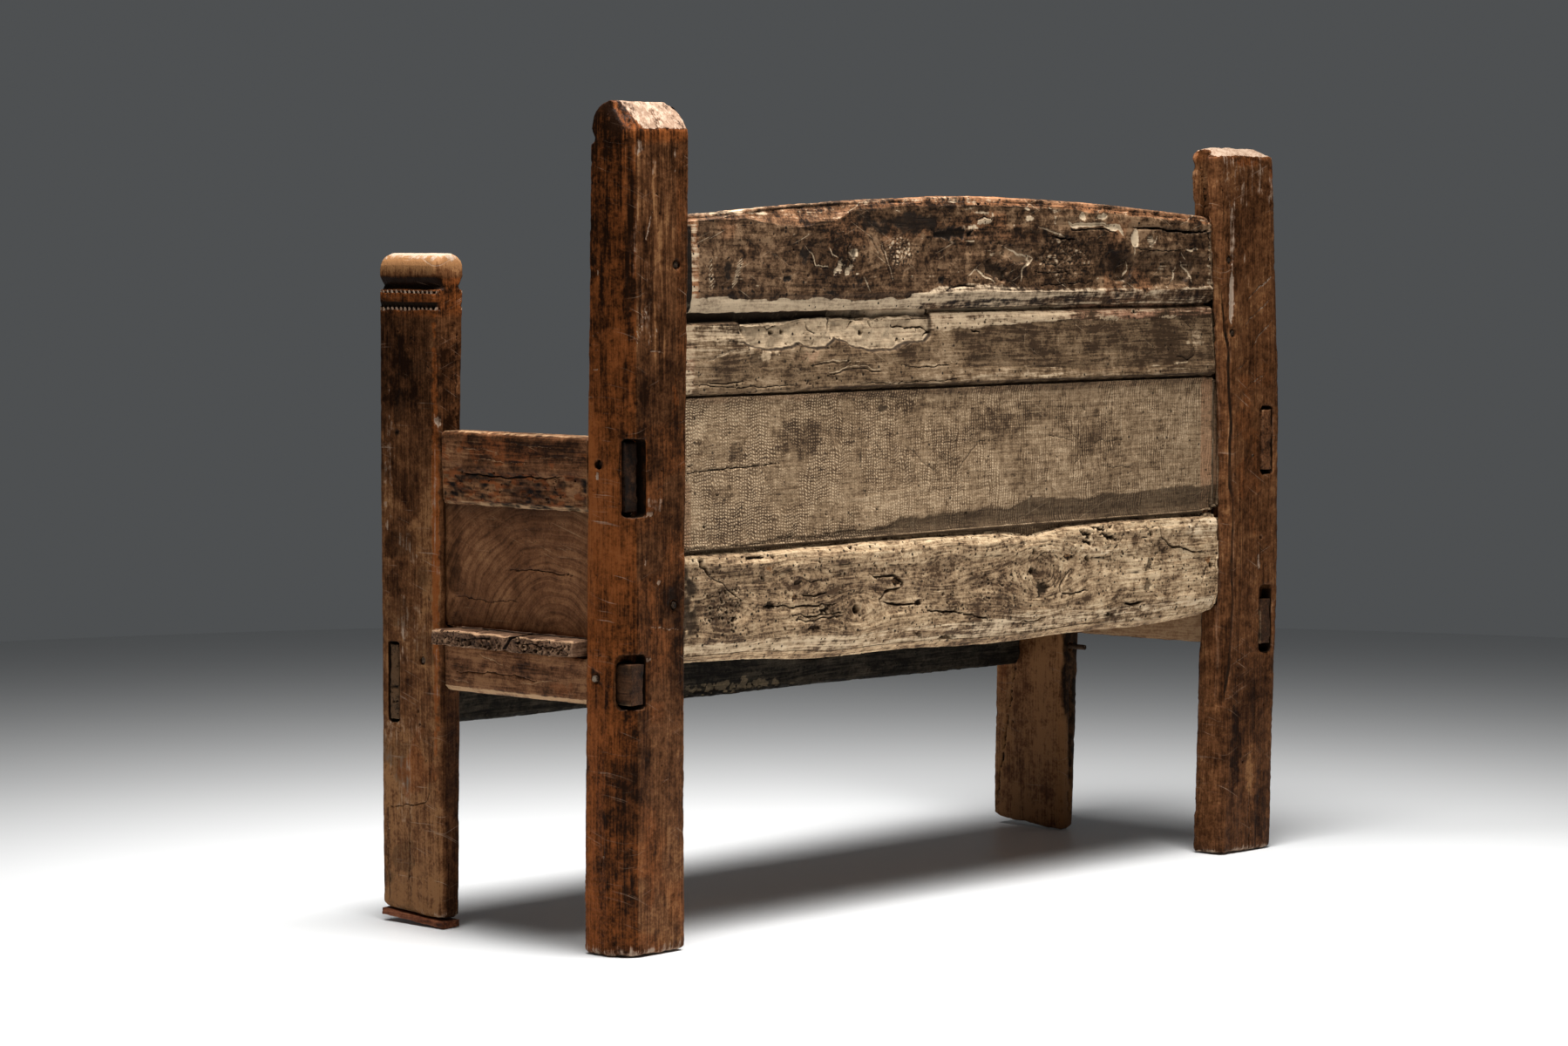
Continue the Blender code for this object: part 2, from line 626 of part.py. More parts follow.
def peg(name, start, end):
    item = piece(name, rod(start, end, PEG_RADIUS, PEG_RADIUS * PEG_TAPER, PEG_SIDES), "peg")
    item.data.shade_smooth()
    item.data.set_sharp_from_angle(angle=math.radians(50))


@dataclass
class Pin:
    """A peg and the hole that it fills: which end it is on, its place, its direction and its reach."""

    name: str
    mouth: Vector        # where the hole opens
    inward: Vector       # unit vector into the post
    sunk: float          # the peg's head below the mouth, negative when it stands out
    length: float        # of the hole, from the mouth
    passes: float = 0.0  # how far the peg stands out past the far face

    def hole(self):
        far = self.length + (CUTTER_OVERSHOOT if self.passes else 0.0)
        return peg_hole(self.mouth - self.inward * CUTTER_OVERSHOOT, self.mouth + self.inward * far)

    def make(self):
        tip = self.length + self.passes - FIT * 2
        peg(self.name, self.mouth + self.inward * self.sunk, self.mouth + self.inward * tip)


def board_pin(name, side, z, from_rear=True, sunk=PEG_SUNK):
    post = REAR_POST[side]
    x = side * (post.inner(z) + PEG_SETBACK)
    mouth = Vector((x, REAR_Y if from_rear else post.front_y(z), z))
    inward = Vector((0, -1 if from_rear else 1, 0))
    reach = PEG_BLIND if from_rear else GROOVE_Y + GROOVE_WIDTH - post.front_y(z)
    return Pin(name, mouth, inward, sunk, min(reach, post.rear_y(z) - post.front_y(z) - PEG_WALL))


def side_pin(name, side, post, y, z, sunk):
    """A peg from the outer face of a post, across a side rail's tenon."""
    mouth = Vector((post.outer_x(z), y, z))
    reach = post.at(post.outer, z) - side_axis(side, y) + REAR_TENON_THICK / 2 + PEG_PAST
    reach = min(reach, post.at(post.width, z) - PEG_WALL)
    return Pin(name, mouth, Vector((-side, 0, 0)), sunk, reach)


def front_rail_y():
    """Middle of the front rail's tenons."""
    return FRONT_Y + FRONT_RAIL_SETBACK + FRONT_RAIL_THICK / 2


def front_rail_pin(name, side, z, passes):
    post = FRONT_POST[side]
    x = side * (post.inner(z) + post.at(post.width, z) / 2)
    depth = post.rear_y(z) - post.front_y(z)
    reach = depth if passes else depth / 2
    return Pin(name, Vector((x, post.front_y(z), z)), Vector((0, 1, 0)), PEG_SUNK, reach, passes)


SEAT_RAIL_BOTTOM = {side: RAIL_TOP - height for side, height in SEAT_RAIL_HEIGHT.items()}
ARM_PEG_Z = ARM_TOP - ARM_PEG_DROP
SEAT_PEG_Z = RAIL_TOP - SEAT_PEG_DROP
FRONT_RAIL_PEG_Z = {
    side: low + FRONT_RAIL_TENON_DROP + FRONT_PEG_RISE for side, low in FRONT_RAIL_BOTTOM.items()}

PINS = {side: {"rear": [], "front": []} for side in SIDE_NAMES}
for pin_side, pin_end in SIDE_NAMES.items():
    behind, ahead = REAR_POST[pin_side], FRONT_POST[pin_side]
    arm_y = behind.front_y(ARM_PEG_Z) + SIDE_PEG_SETBACK
    seat_y = behind.front_y(SEAT_PEG_Z) + SIDE_PEG_SETBACK
    toe_y = ahead.rear_y(SEAT_PEG_Z) - FRONT_PEG_SETBACK
    arm_sunk = PEG_BROKEN if pin_side > 0 else PEG_SUNK
    PINS[pin_side]["rear"] += [
        board_pin(f"crest_peg_{pin_end}", pin_side, CREST_BOTTOM + CREST_PEG_RISE),
        board_pin(f"lower_back_rail_peg_{pin_end}", pin_side, LOWER_TOP - LOWER_PEG_DROP,
                  from_rear=pin_side > 0, sunk=PEG_SUNK / 3),
        side_pin(f"arm_rail_peg_{pin_end}", pin_side, behind, arm_y, ARM_PEG_Z, arm_sunk),
        side_pin(f"seat_rail_rear_peg_{pin_end}", pin_side, behind, seat_y, SEAT_PEG_Z, -PEG_SUNK)]
    PINS[pin_side]["front"] += [
        side_pin(f"seat_rail_front_peg_{pin_end}", pin_side, ahead, toe_y, SEAT_PEG_Z, PEG_SUNK),
        front_rail_pin(f"front_rail_peg_{pin_end}", pin_side, FRONT_RAIL_PEG_Z[pin_side],
                       PEG_TAIL if pin_side < 0 else 0.0)]
PINS[-1]["rear"].append(board_pin("upper_back_rail_peg_left", -1, UPPER_BOTTOM + UPPER_PEG_RISE))


def drill(target, pins, near=None):
    """Cuts the holes of the pegs whose names start with one of near, or all of them."""
    for pin in pins:
        if near is None or pin.name.startswith(near):
            cut(target, pin.hole(), pin.name)


# The front rail's tenons, in X, Y and Z
def front_rail_tenon(side):
    post = FRONT_POST[side]
    low_z, high_z = FRONT_RAIL_BOTTOM[side] + FRONT_RAIL_TENON_DROP, RAIL_TOP - TENON_SHOULDER
    half = FRONT_RAIL_TENON_THICK / 2
    start = post.inner_least(low_z, high_z) - CUTTER_OVERSHOOT
    end = max(post.at(post.outer, low_z), post.at(post.outer, high_z))
    xs = sorted((side * start, side * end))
    return (xs[0], front_rail_y() - half, low_z), (xs[1], front_rail_y() + half, high_z)


def stretched_out(side, corners, by):
    """A through mortise's corners: the tenon's, longer past the outer face of its post."""
    low, high = grown(*corners, FIT)
    if side > 0:
        return low, (high[0] + by, *high[1:])
    return (low[0] - by, *low[1:]), high


# The pieces
def make_rear_post(side):
    post = REAR_POST[side]
    item = piece(f"rear_post_{SIDE_NAMES[side]}", loft(rear_post_rings(post)), "waxed_post")
    cut(item, board_groove(side), "board_groove")
    for name, board in TENONED_BOARDS.items():
        low, high = board.tongue(side)
        cut(item, block(*grown(low, high, FIT)), f"{name}_mortise")
    for name, bottom, top, wider in (
            ("arm", ARM_BOTTOM, ARM_TOP, ARM_MOUTH[side]),
            ("seat", SEAT_RAIL_BOTTOM[side], RAIL_TOP, SEAT_MOUTH[side])):
        tenon = rear_tenon(side, bottom, top, 0.0)
        low, high = grown(*tenon, FIT)
        high = (high[0], high[1] + CUTTER_OVERSHOOT, high[2])
        cut(item, side_block(side, low, high), f"{name}_mortise_through")
        cut(item, side_block(side, *mortise_mouth(tenon, wider)), f"{name}_mortise_mouth")
    cut(item, side_block(side, *panel_groove(side)), "panel_groove")
    drill(item, PINS[side]["rear"])


def make_front_post(side):
    post = FRONT_POST[side]
    item = piece(f"front_post_{SIDE_NAMES[side]}", loft(front_post_rings(post)), "waxed_post")
    for name, bottom, top in (("arm", ARM_BOTTOM, ARM_TOP), ("seat", SEAT_RAIL_BOTTOM[side], RAIL_TOP)):
        cut(item, side_block(side, *grown(*front_tenon(side, bottom, top), FIT)), f"{name}_mortise")
    mortise = stretched_out(side, front_rail_tenon(side), CUTTER_OVERSHOOT)
    cut(item, block(*mortise), "front_rail_mortise")
    cut(item, side_block(side, *panel_groove(side)), "panel_groove")
    drill(item, PINS[side]["front"])


def make_side_frame(side):
    end = SIDE_NAMES[side]
    chamfer = RAIL_CHAMFER
    bottom = SEAT_RAIL_BOTTOM[side]
    arm = piece(f"arm_rail_{end}", side_rail_body(
        side, ARM_RAIL_THICK, ARM_BOTTOM, ARM_TOP, (WORN, chamfer, ARM_ARRIS, ARM_ARRIS)), "waxed_rail")
    through = rear_tenon(side, ARM_BOTTOM, ARM_TOP, ARM_TENON_RECESS[side])
    join(arm, side_block(side, *through), "rear_tenon")
    join(arm, side_block(side, *front_tenon(side, ARM_BOTTOM, ARM_TOP)), "front_tenon")
    cut(arm, side_block(side, *panel_groove(side)), "panel_groove")
    drill(arm, PINS[side]["rear"], "arm_rail")

    rail = piece(f"seat_rail_{end}", side_rail_body(
        side, SEAT_RAIL_THICK, bottom, RAIL_TOP, (WORN, chamfer, WORN, WORN)), "waxed_rail")
    join(rail, side_block(side, *rear_tenon(side, bottom, RAIL_TOP, SEAT_TENON_RECESS)), "rear_tenon")
    join(rail, side_block(side, *front_tenon(side, bottom, RAIL_TOP)), "front_tenon")
    drill(rail, PINS[side]["rear"] + PINS[side]["front"], "seat_rail")

    piece(f"side_panel_{end}", side_block(side, *panel_corners(side)), "waxed_rail")


def make_front_rail():
    front, rear = FRONT_Y + FRONT_RAIL_SETBACK, FRONT_Y + FRONT_RAIL_SETBACK + FRONT_RAIL_THICK
    rings = []
    for side in (-1, 1):
        post = FRONT_POST[side]
        cuts = (WORN, RAIL_CHAMFER, WORN, WORN)
        section = chamfered(front, rear, FRONT_RAIL_BOTTOM[side], RAIL_TOP, cuts)
        rings.append([(side * (post.inner(z) - FIT), y, z) for y, z in section])
    rail = piece("front_seat_rail", loft(rings), "dark_rail")
    for side in SIDE_NAMES:
        low, high = front_rail_tenon(side)
        join(rail, block(low, high), f"tenon_{SIDE_NAMES[side]}")
        drill(rail, PINS[side]["front"], "front_rail")


def make_seat():
    end = HALF_SPAN + PLANK_OVERHANG
    rear_edge = min(
        min(post.front_y(SEAT_UNDERSIDE) for post in REAR_POST.values()),
        REAR_Y - LOWER_RAIL_SETBACK - LOWER_RAIL_THICK) - FIT * 2
    joint = rear_edge - REAR_PLANK_WIDTH
    front_edge = FRONT_Y + PLANK_FRONT_SETBACK
    rear_plank = block((-end, joint, SEAT_UNDERSIDE), (end, rear_edge, SEAT_HEIGHT))
    front_plank = block((-end, front_edge, SEAT_UNDERSIDE), (end, joint - PLANK_GAP, SEAT_HEIGHT))
    for bm in (rear_plank, front_plank):
        for vert in bm.verts:
            if abs(vert.co.y - joint) < PLANK_GAP * 1.5:
                vert.co.y += PLANK_BEVEL * ((vert.co.z - SEAT_UNDERSIDE) / PLANK_THICK - 0.5)
    piece("seat_plank_rear", rear_plank, "worn_seat")
    plank = piece("seat_plank_front", front_plank, "worn_seat")
    for side in SIDE_NAMES:
        post = FRONT_POST[side]
        inside = post.inner_least(SEAT_UNDERSIDE, SEAT_HEIGHT) - FIT
        xs = sorted((side * inside, side * (end + CUTTER_OVERSHOOT)))
        behind = max(post.rear_y(SEAT_UNDERSIDE), post.rear_y(SEAT_HEIGHT)) + FIT
        cut(plank, block(
            (xs[0], FRONT_Y - CUTTER_OVERSHOOT, SEAT_UNDERSIDE - CUTTER_OVERSHOOT),
            (xs[1], behind, SEAT_HEIGHT + CUTTER_OVERSHOOT)), f"notch_{SIDE_NAMES[side]}")


def make_back():
    crest = piece("crest_rail", back_board(crest_section), "crest")
    upper = piece("upper_back_rail", back_board(upper_section), "dry_board")
    lower = piece("lower_back_rail", back_board(lower_section), "live_edge")
    for item, board in ((crest, CREST), (upper, UPPER), (lower, LOWER)):
        for side in SIDE_NAMES:
            join(item, block(*board.tongue(side)), f"tenon_{SIDE_NAMES[side]}")
    panel = make_back_panel()
    for item, entered, edge, name in (
            (panel, lower, PANEL_BOTTOM, "lower_edge"), (panel, upper, PANEL_TOP, "upper_edge"),
            (upper, crest, UPPER_TOP, "crest_edge")):
        tongue = edge_tongue(edge)
        join(item, block(*tongue), f"{name}_tongue")
        cut(entered, block(*grown(*tongue, FIT)), f"{name}_groove")
    for item, near in ((crest, "crest"), (upper, "upper"), (lower, "lower")):
        for side in SIDE_NAMES:
            drill(item, PINS[side]["rear"], near)


def make_back_panel():
    """A flat panel whose rear face is fielded: it is bevelled down along its edges."""
    rear, front = REAR_Y - PANEL_SETBACK, REAR_Y - PANEL_SETBACK - PANEL_THICK
    reach = {side: post.inner_least(PANEL_BOTTOM, PANEL_TOP) - FIT for side, post in REAR_POST.items()}
    bm = block((-reach[-1], front, PANEL_BOTTOM), (reach[1], rear, PANEL_TOP))
    back = [face for face in bm.faces if face.normal.y > 0.5]
    rim = list(back[0].verts)
    bmesh.ops.inset_region(bm, faces=back, thickness=PANEL_FIELD, depth=0.0)
    for vert in rim:
        vert.co.y -= PANEL_BEVEL
    for vert in back[0].verts:
        vert.co.x -= math.copysign(PANEL_END_FIELD - PANEL_FIELD, vert.co.x)
    panel = piece("back_panel", bm, "dry_board")
    for side in SIDE_NAMES:
        low, high = PANEL.tongue(side)
        join(panel, block(low, high), f"tongue_{SIDE_NAMES[side]}")
    return panel


def make_shim():
    """The strip along the slanted foot of the right front post meets the floor at its rear end."""
    post = FRONT_POST[1]
    outer = post.at(post.outer, 0.0)
    low, high = (outer - SHIM_WIDTH, post.front_y(0.0), 0.0), (outer, post.rear_y(0.0), SHIM_THICK)
    bm = block(low, high)
    slope = foot_plane(post)
    for vert in bm.verts:
        vert.co.z += slope(vert.co.y) - SHIM_THICK - FIT
    piece("foot_shim", bm, "fresh_shim")


def main():
    start_scene()
    for side in SIDE_NAMES:
        make_rear_post(side)
        make_front_post(side)
        make_side_frame(side)
    make_front_rail()
    make_seat()
    make_back()
    make_shim()
    for pins in PINS.values():
        for pin in pins["rear"] + pins["front"]:
            pin.make()


main()
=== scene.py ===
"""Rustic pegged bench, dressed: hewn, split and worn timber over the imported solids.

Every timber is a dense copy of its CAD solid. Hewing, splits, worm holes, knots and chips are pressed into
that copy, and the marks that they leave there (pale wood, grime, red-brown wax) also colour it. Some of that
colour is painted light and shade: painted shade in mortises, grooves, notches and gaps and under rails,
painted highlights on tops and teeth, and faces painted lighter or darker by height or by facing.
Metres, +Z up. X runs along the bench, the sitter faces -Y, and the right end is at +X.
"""

import itertools
import math
from dataclasses import dataclass, replace

import bmesh
import bpy
import numpy as np
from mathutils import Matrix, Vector


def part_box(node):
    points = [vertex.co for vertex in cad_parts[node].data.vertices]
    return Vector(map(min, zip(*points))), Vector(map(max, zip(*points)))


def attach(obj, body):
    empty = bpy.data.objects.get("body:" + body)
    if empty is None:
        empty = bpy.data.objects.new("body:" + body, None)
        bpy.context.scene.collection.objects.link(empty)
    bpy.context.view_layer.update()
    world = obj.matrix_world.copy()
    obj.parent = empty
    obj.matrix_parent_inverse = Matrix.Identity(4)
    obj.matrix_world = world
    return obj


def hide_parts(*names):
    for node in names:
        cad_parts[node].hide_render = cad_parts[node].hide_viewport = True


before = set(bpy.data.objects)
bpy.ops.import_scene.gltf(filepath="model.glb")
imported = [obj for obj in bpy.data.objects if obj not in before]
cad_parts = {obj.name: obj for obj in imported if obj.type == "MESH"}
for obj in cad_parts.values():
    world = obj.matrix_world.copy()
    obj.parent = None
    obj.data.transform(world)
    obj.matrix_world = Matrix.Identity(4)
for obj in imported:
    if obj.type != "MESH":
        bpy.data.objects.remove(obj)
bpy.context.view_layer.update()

# Sizes repeated from the part, for marks that follow its carving
FRONT_POST_TOP = 0.966
FRONT_BAND_EDGE = 0.053      # upper edge of the carved band, below the top of a front post
FRONT_GROOVE_EDGE = 0.0773   # lower edge of the second groove
TOOTH_PITCH = 0.0092         # notched teeth along both grooves
TOOTH_DROP = 0.0062
TOOTH_DEPTH = 0.0042


# Noise and shaping
def smooth(low, high, value):
    """0 at low and 1 at high, eased at both ends."""
    t = np.clip((value - low) / (high - low), 0.0, 1.0)
    return t * t * (3 - 2 * t)


def lattice(scaled, seed):
    """Smooth noise with marks one unit across."""
    cell = np.floor(scaled)
    t = scaled - cell
    t = t * t * t * (t * (t * 6 - 15) + 10)
    cell = cell.astype(np.int64).astype(np.uint32)
    shares, keys = [], []
    for axis, prime in enumerate((374761393, 668265263, 2246822519)):
        key = cell[:, axis] * np.uint32(prime)
        shares.append((1 - t[:, axis], t[:, axis]))
        keys.append((key, key + np.uint32(prime)))
    total = np.zeros(len(scaled), np.float32)
    start = np.uint32(seed * 974711 % 4294967291)
    for i, j, k in itertools.product((0, 1), repeat=3):
        mixed = keys[0][i] + keys[1][j] + keys[2][k] + start
        mixed = (mixed ^ (mixed >> np.uint32(13))) * np.uint32(1274126177)
        mixed = (mixed ^ (mixed >> np.uint32(15))) * np.uint32(2654435761)
        value = ((mixed >> np.uint32(8)) & np.uint32(0xFFFF)).astype(np.float32) / 32767.5 - 1
        total += shares[0][i] * shares[1][j] * shares[2][k] * value
    return total


def noise(points, size, seed=0, octaves=1):
    """Smooth noise, about -1 to 1, with marks about size across, one number or one for each axis."""
    total = np.zeros(len(points))
    weight = 1.0
    scaled = (points / np.asarray(size)).astype(np.float32)
    for octave in range(octaves):
        total += weight * lattice(scaled, seed + octave * 31)
        scaled = scaled * 2.03 + 17.3
        weight *= 0.5
    return total


def net(u, v, size, seed):
    """0 on the lines of an irregular net with meshes about size across, rising between them."""
    u, v = u / size, v / size
    first = np.full(len(u), 9.0)
    second = np.full(len(u), 9.0)
    for du, dv in itertools.product((-1, 0, 1), repeat=2):
        i, j = np.floor(u) + du, np.floor(v) + dv
        turn = np.sin(i * 127.1 + j * 311.7 + seed) * 43758.5453
        reach = np.hypot(i + turn % 1.0 - u, j + (turn * 7.13) % 1.0 - v)
        second = np.minimum(second, np.maximum(first, reach))
        first = np.minimum(first, reach)
    return second - first


FACES = {"rear": (1, 1), "front": (1, -1), "right": (0, 1), "left": (0, -1), "top": (2, 1), "under": (2, -1)}


def on_face(points, face):
    """The two coordinates along a face: x, z at the rear, y, z at the sides and x, y on top."""
    axis = FACES[face][0]
    first, second = (i for i in range(3) if i != axis)
    return points[:, first], points[:, second]


# Marks in the timber
@dataclass
class Mark:
    """Something pressed into a face: how deep, and the pale wood, grime, wax and darkening it leaves. At some marks the
    grime is painted shade and the pale is a painted highlight.
    """

    face: str
    depth: float = 0.0
    pale: float = 0.0
    grime: float = 0.0
    warm: float = 0.0
    shade: float = 0.0
    fine = True

    def near(self, points, by):
        """Which points lie inside the mark's window, widened by a distance."""
        u, v = on_face(points, self.face)
        low, high = self.window()
        return (u > low[0] - by) & (u < high[0] + by) & (v > low[1] - by) & (v < high[1] + by)

    def close(self, points, by):
        """Which points of the window lie within a distance of the mark."""
        return np.ones(len(points), bool)


@dataclass
class Patch(Mark):
    """A ragged oval: worn, torn or stained."""

    centre: tuple = (0.0, 0.0)
    size: tuple = (0.01, 0.01)
    turn: float = 0.0
    ragged: float = 0.35
    soft: float = 0.5
    fine = False

    def window(self):
        reach = max(self.size) * (1 + self.ragged * 1.6)
        return [c - reach for c in self.centre], [c + reach for c in self.centre]

    def amount(self, points):
        u, v = on_face(points, self.face)
        u, v = u - self.centre[0], v - self.centre[1]
        cos, sin = math.cos(self.turn), math.sin(self.turn)
        across = (u * cos + v * sin) / self.size[0], (v * cos - u * sin) / self.size[1]
        reach = np.hypot(*across) + self.ragged * noise(points, min(self.size) * 0.8, 5, 4)
        return smooth(1.0, 1.0 - self.soft, reach)


@dataclass
class Split(Mark):
    """A crack or a scratch along a line. A scratch is shallow and pale."""

    line: tuple = ()
    width: float = 0.002
    grime: float = 1.0
    wander: float = 0.0022

    def window(self):
        line = np.array(self.line)
        reach = self.width + self.wander * 2
        return line.min(axis=0) - reach, line.max(axis=0) + reach

    def reach(self, points):
        """Distance from the line and half its width there."""
        u, v = on_face(points, self.face)
        u = u + self.wander * noise(points, 0.016, 11, 2)
        v = v + self.wander * noise(points, 0.016, 12, 2)
        best = np.full(len(points), 1.0)
        along = np.zeros(len(points))
        count = len(self.line) - 1
        for step, ((u0, v0), (u1, v1)) in enumerate(zip(self.line, self.line[1:])):
            du, dv = u1 - u0, v1 - v0
            t = np.clip(((u - u0) * du + (v - v0) * dv) / (du * du + dv * dv), 0, 1)
            distance = np.hypot(u - u0 - t * du, v - v0 - t * dv)
            along = np.where(distance < best, (step + t) / count, along)
            best = np.minimum(best, distance)
        half = self.width / 2 * (1 - np.abs(along * 2 - 1) ** 3 * 0.8) * (1 + 0.3 * noise(points, 0.01, 13))
        return best, half

    def amount(self, points):
        distance, half = self.reach(points)
        return smooth(half, half * 0.15, distance)

    def close(self, points, by):
        distance, half = self.reach(points)
        return distance < half + by


@dataclass
class Hole(Mark):
    """A worm hole, a nail hole or an empty knot."""

    centre: tuple = (0.0, 0.0)
    radius: float = 0.002
    grime: float = 1.0

    def window(self):
        return [c - self.radius * 1.2 for c in self.centre], [c + self.radius * 1.2 for c in self.centre]

    def distance(self, points):
        u, v = on_face(points, self.face)
        return np.hypot(u - self.centre[0], v - self.centre[1])

    def amount(self, points):
        return smooth(self.radius * 1.1, self.radius * 0.55, self.distance(points))

    def close(self, points, by):
        return self.distance(points) < self.radius + by


@dataclass
class Teeth(Mark):
    """A row of small notches under the edge of a carved groove, with painted shade in the notches by default."""

    edge: float = 0.0
    depth: float = TOOTH_DEPTH
    # painted shade in the notches
    grime: float = 1.0
    shift: float = 0.0

    def window(self):
        return (-2.0, self.edge - TOOTH_DROP * 1.5), (2.0, self.edge + 0.001)

    def amount(self, points):
        u, z = on_face(points, self.face)
        u = u + 0.0012 * noise(points, 0.02, 3)
        notch = np.abs((u / TOOTH_PITCH + self.shift) % 1.0 - 0.5) * 2
        drop = TOOTH_DROP * (1 + 0.3 * noise(points, 0.011, 4))
        return smooth(0.30, 0.62, notch) * smooth(self.edge - drop, self.edge - drop * 0.45, z)


def worm_holes(face, low, high, count, radii, seed):
    """Scattered worm holes on a stretch of a face."""
    rng = np.random.default_rng(seed)
    places = rng.uniform(low, high, (count, 2))
    sizes = radii[0] + (radii[1] - radii[0]) * rng.random(count) ** 2.5
    return [Hole(face, size * 3.5, centre=tuple(place), radius=size) for place, size in zip(places, sizes)]


def patch(face, centre, size, depth=0.0, **more):
    return Patch(face, depth, centre=centre, size=size, **more)


def hole(face, centre, radius, depth, **more):
    return Hole(face, depth, centre=centre, radius=radius, **more)


def crack(face, line, width, depth, **more):
    return Split(face, depth, line=tuple(line), width=width, **more)


def scratch(face, line, width=0.0018, depth=0.0008, pale=1.0):
    return Split(face, depth, pale=pale, line=tuple(line), width=width, grime=0.0)


def hatching(face, centre, count, stroke, step, pale=0.9, width=0.0016):
    """Parallel short scratches: the stroke's run and the step from one to the next."""
    marks = []
    for number in range(count):
        shift = number - (count - 1) / 2
        u, v = centre[0] + step[0] * shift, centre[1] + step[1] * shift
        start, end = (u - stroke[0] / 2, v - stroke[1] / 2), (u + stroke[0] / 2, v + stroke[1] / 2)
        marks.append(scratch(face, (start, end), width, 0.0007, pale))
    return marks


# Dense copies of the solids
FINE_REACH = 0.0022          # the mesh is made finer this far round a split or a hole
FINE_PASSES = 2


class Timber:
    """A dense copy of one CAD solid: its points, the way they face and what is pressed into them."""

    def __init__(self, node, voxel, along, seed, marks=(), pith=(0.0, 0.0), knots=(), dense=()):
        self.node = node
        self.seed = seed
        self.marks = list(marks)
        self.piece = self.copy_solid(node, voxel)
        self.refine(dense)
        self.sharpen()
        mesh = self.piece.data
        count = len(mesh.vertices)
        self.at = self.read(mesh.vertices, "co", count, 3)
        self.out = self.read(mesh.vertex_normals, "vector", count, 3)
        self.ends = self.edge_ends(mesh)
        self.degree = np.bincount(self.ends.ravel(), minlength=count).astype(float)
        self.cut = np.zeros(count)
        self.pale = np.zeros(count)
        self.grime = np.zeros(count)
        self.warm = np.zeros(count)
        self.shade = np.zeros(count)
        self.loose = np.ones(count)
        self.edge = self.convexity(16, voxel)
        self.grain = self.grain_of(along, pith, knots)

    @staticmethod
    def read(items, key, count, width):
        values = np.empty(count * width, np.float32)
        items.foreach_get(key, values)
        return values.reshape(count, width).astype(float)

    @staticmethod
    def edge_ends(mesh):
        ends = np.empty(len(mesh.edges) * 2, np.int32)
        mesh.edges.foreach_get("vertices", ends)
        return ends.reshape(-1, 2)

    @staticmethod
    def copy_solid(node, voxel):
        bm = bmesh.new()
        bm.from_mesh(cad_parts[node].data)
        bmesh.ops.remove_doubles(bm, verts=bm.verts, dist=1e-6)
        mesh = bpy.data.meshes.new(f"{node}_timber")
        bm.to_mesh(mesh)
        bm.free()
        piece = bpy.data.objects.new(f"{node}_timber", mesh)
        bpy.context.scene.collection.objects.link(piece)
        remesh = piece.modifiers.new("even_mesh", "REMESH")
        remesh.mode = "VOXEL"
        remesh.voxel_size = voxel
        graph = bpy.context.evaluated_depsgraph_get()
        piece.data = bpy.data.meshes.new_from_object(piece.evaluated_get(graph))
        piece.modifiers.clear()
        return piece

    def refine(self, dense):
        """Divides the mesh on the faces that show most, and round splits, holes and teeth."""
        fine = [mark for mark in self.marks if mark.fine]
        for step in range(FINE_PASSES):
            mesh = self.piece.data
            count = len(mesh.vertices)
            points = self.read(mesh.vertices, "co", count, 3)
            normals = self.read(mesh.vertex_normals, "vector", count, 3)
            wanted = np.zeros(count, bool)
            for face in dense if step == 0 else ():
                axis, sign = FACES[face]
                wanted |= normals[:, axis] * sign > 0.5
            by = FINE_REACH / (step + 1)
            for mark in fine:
                axis, sign = FACES[mark.face]
                chosen = np.flatnonzero((normals[:, axis] * sign > 0.3) & mark.near(points, by))
                wanted[chosen] |= mark.close(points[chosen], by)
            ends = self.edge_ends(mesh)
            chosen = np.flatnonzero(wanted[ends[:, 0]] & wanted[ends[:, 1]])
            if not len(chosen):
                continue
            bm = bmesh.new()
            bm.from_mesh(mesh)
            bm.edges.ensure_lookup_table()
            bmesh.ops.subdivide_edges(bm, edges=[bm.edges[i] for i in chosen], cuts=1, use_grid_fill=True)
            bm.to_mesh(mesh)
            bm.free()

    def sharpen(self):
        """Draws the points back onto the solid's faces, so that edges and mortise corners stay crisp."""
        wrap = self.piece.modifiers.new("true_faces", "SHRINKWRAP")
        wrap.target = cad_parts[self.node]
        wrap.wrap_method = "NEAREST_SURFACEPOINT"
        graph = bpy.context.evaluated_depsgraph_get()
        self.piece.data = bpy.data.meshes.new_from_object(self.piece.evaluated_get(graph))
        self.piece.modifiers.clear()

    def averaged(self, values, rounds):
        """Values spread over the surface."""
        first, second = self.ends[:, 0], self.ends[:, 1]
        count = len(self.degree)
        columns = [column.copy() for column in np.atleast_2d(values.T)]
        for _ in range(rounds):
            for i, column in enumerate(columns):
                around = np.bincount(first, column[second], count) + np.bincount(second, column[first], count)
                columns[i] = (column + around / self.degree) / 2
        return np.stack(columns, axis=1) if values.ndim > 1 else columns[0]

    def convexity(self, rounds, step):
        """1 on outer edges, 0 on flats, below 0 in hollows."""
        sunk = ((self.at - self.averaged(self.at, rounds)) * self.out).sum(axis=1)
        return np.clip(sunk / (step * math.sqrt(rounds) * 0.22), -1, 1)

    def soften(self, amount, rounds):
        """Rounds off the solid's facets where amount is 1."""
        self.reshape(self.at + (self.averaged(self.at, rounds) - self.at) * amount[:, None])

    def pare(self, depth, direction):
        """Takes wood off along a direction, as deep as given where that is above 0."""
        direction = np.array(direction) / np.linalg.norm(direction)
        self.reshape(self.at - np.clip(depth, 0, 0.05)[:, None] * direction)

    def reshape(self, points):
        mesh = self.piece.data
        mesh.vertices.foreach_set("co", points.astype(np.float32).ravel())
        mesh.update()
        self.at = points
        self.out = self.read(mesh.vertex_normals, "vector", len(points), 3)

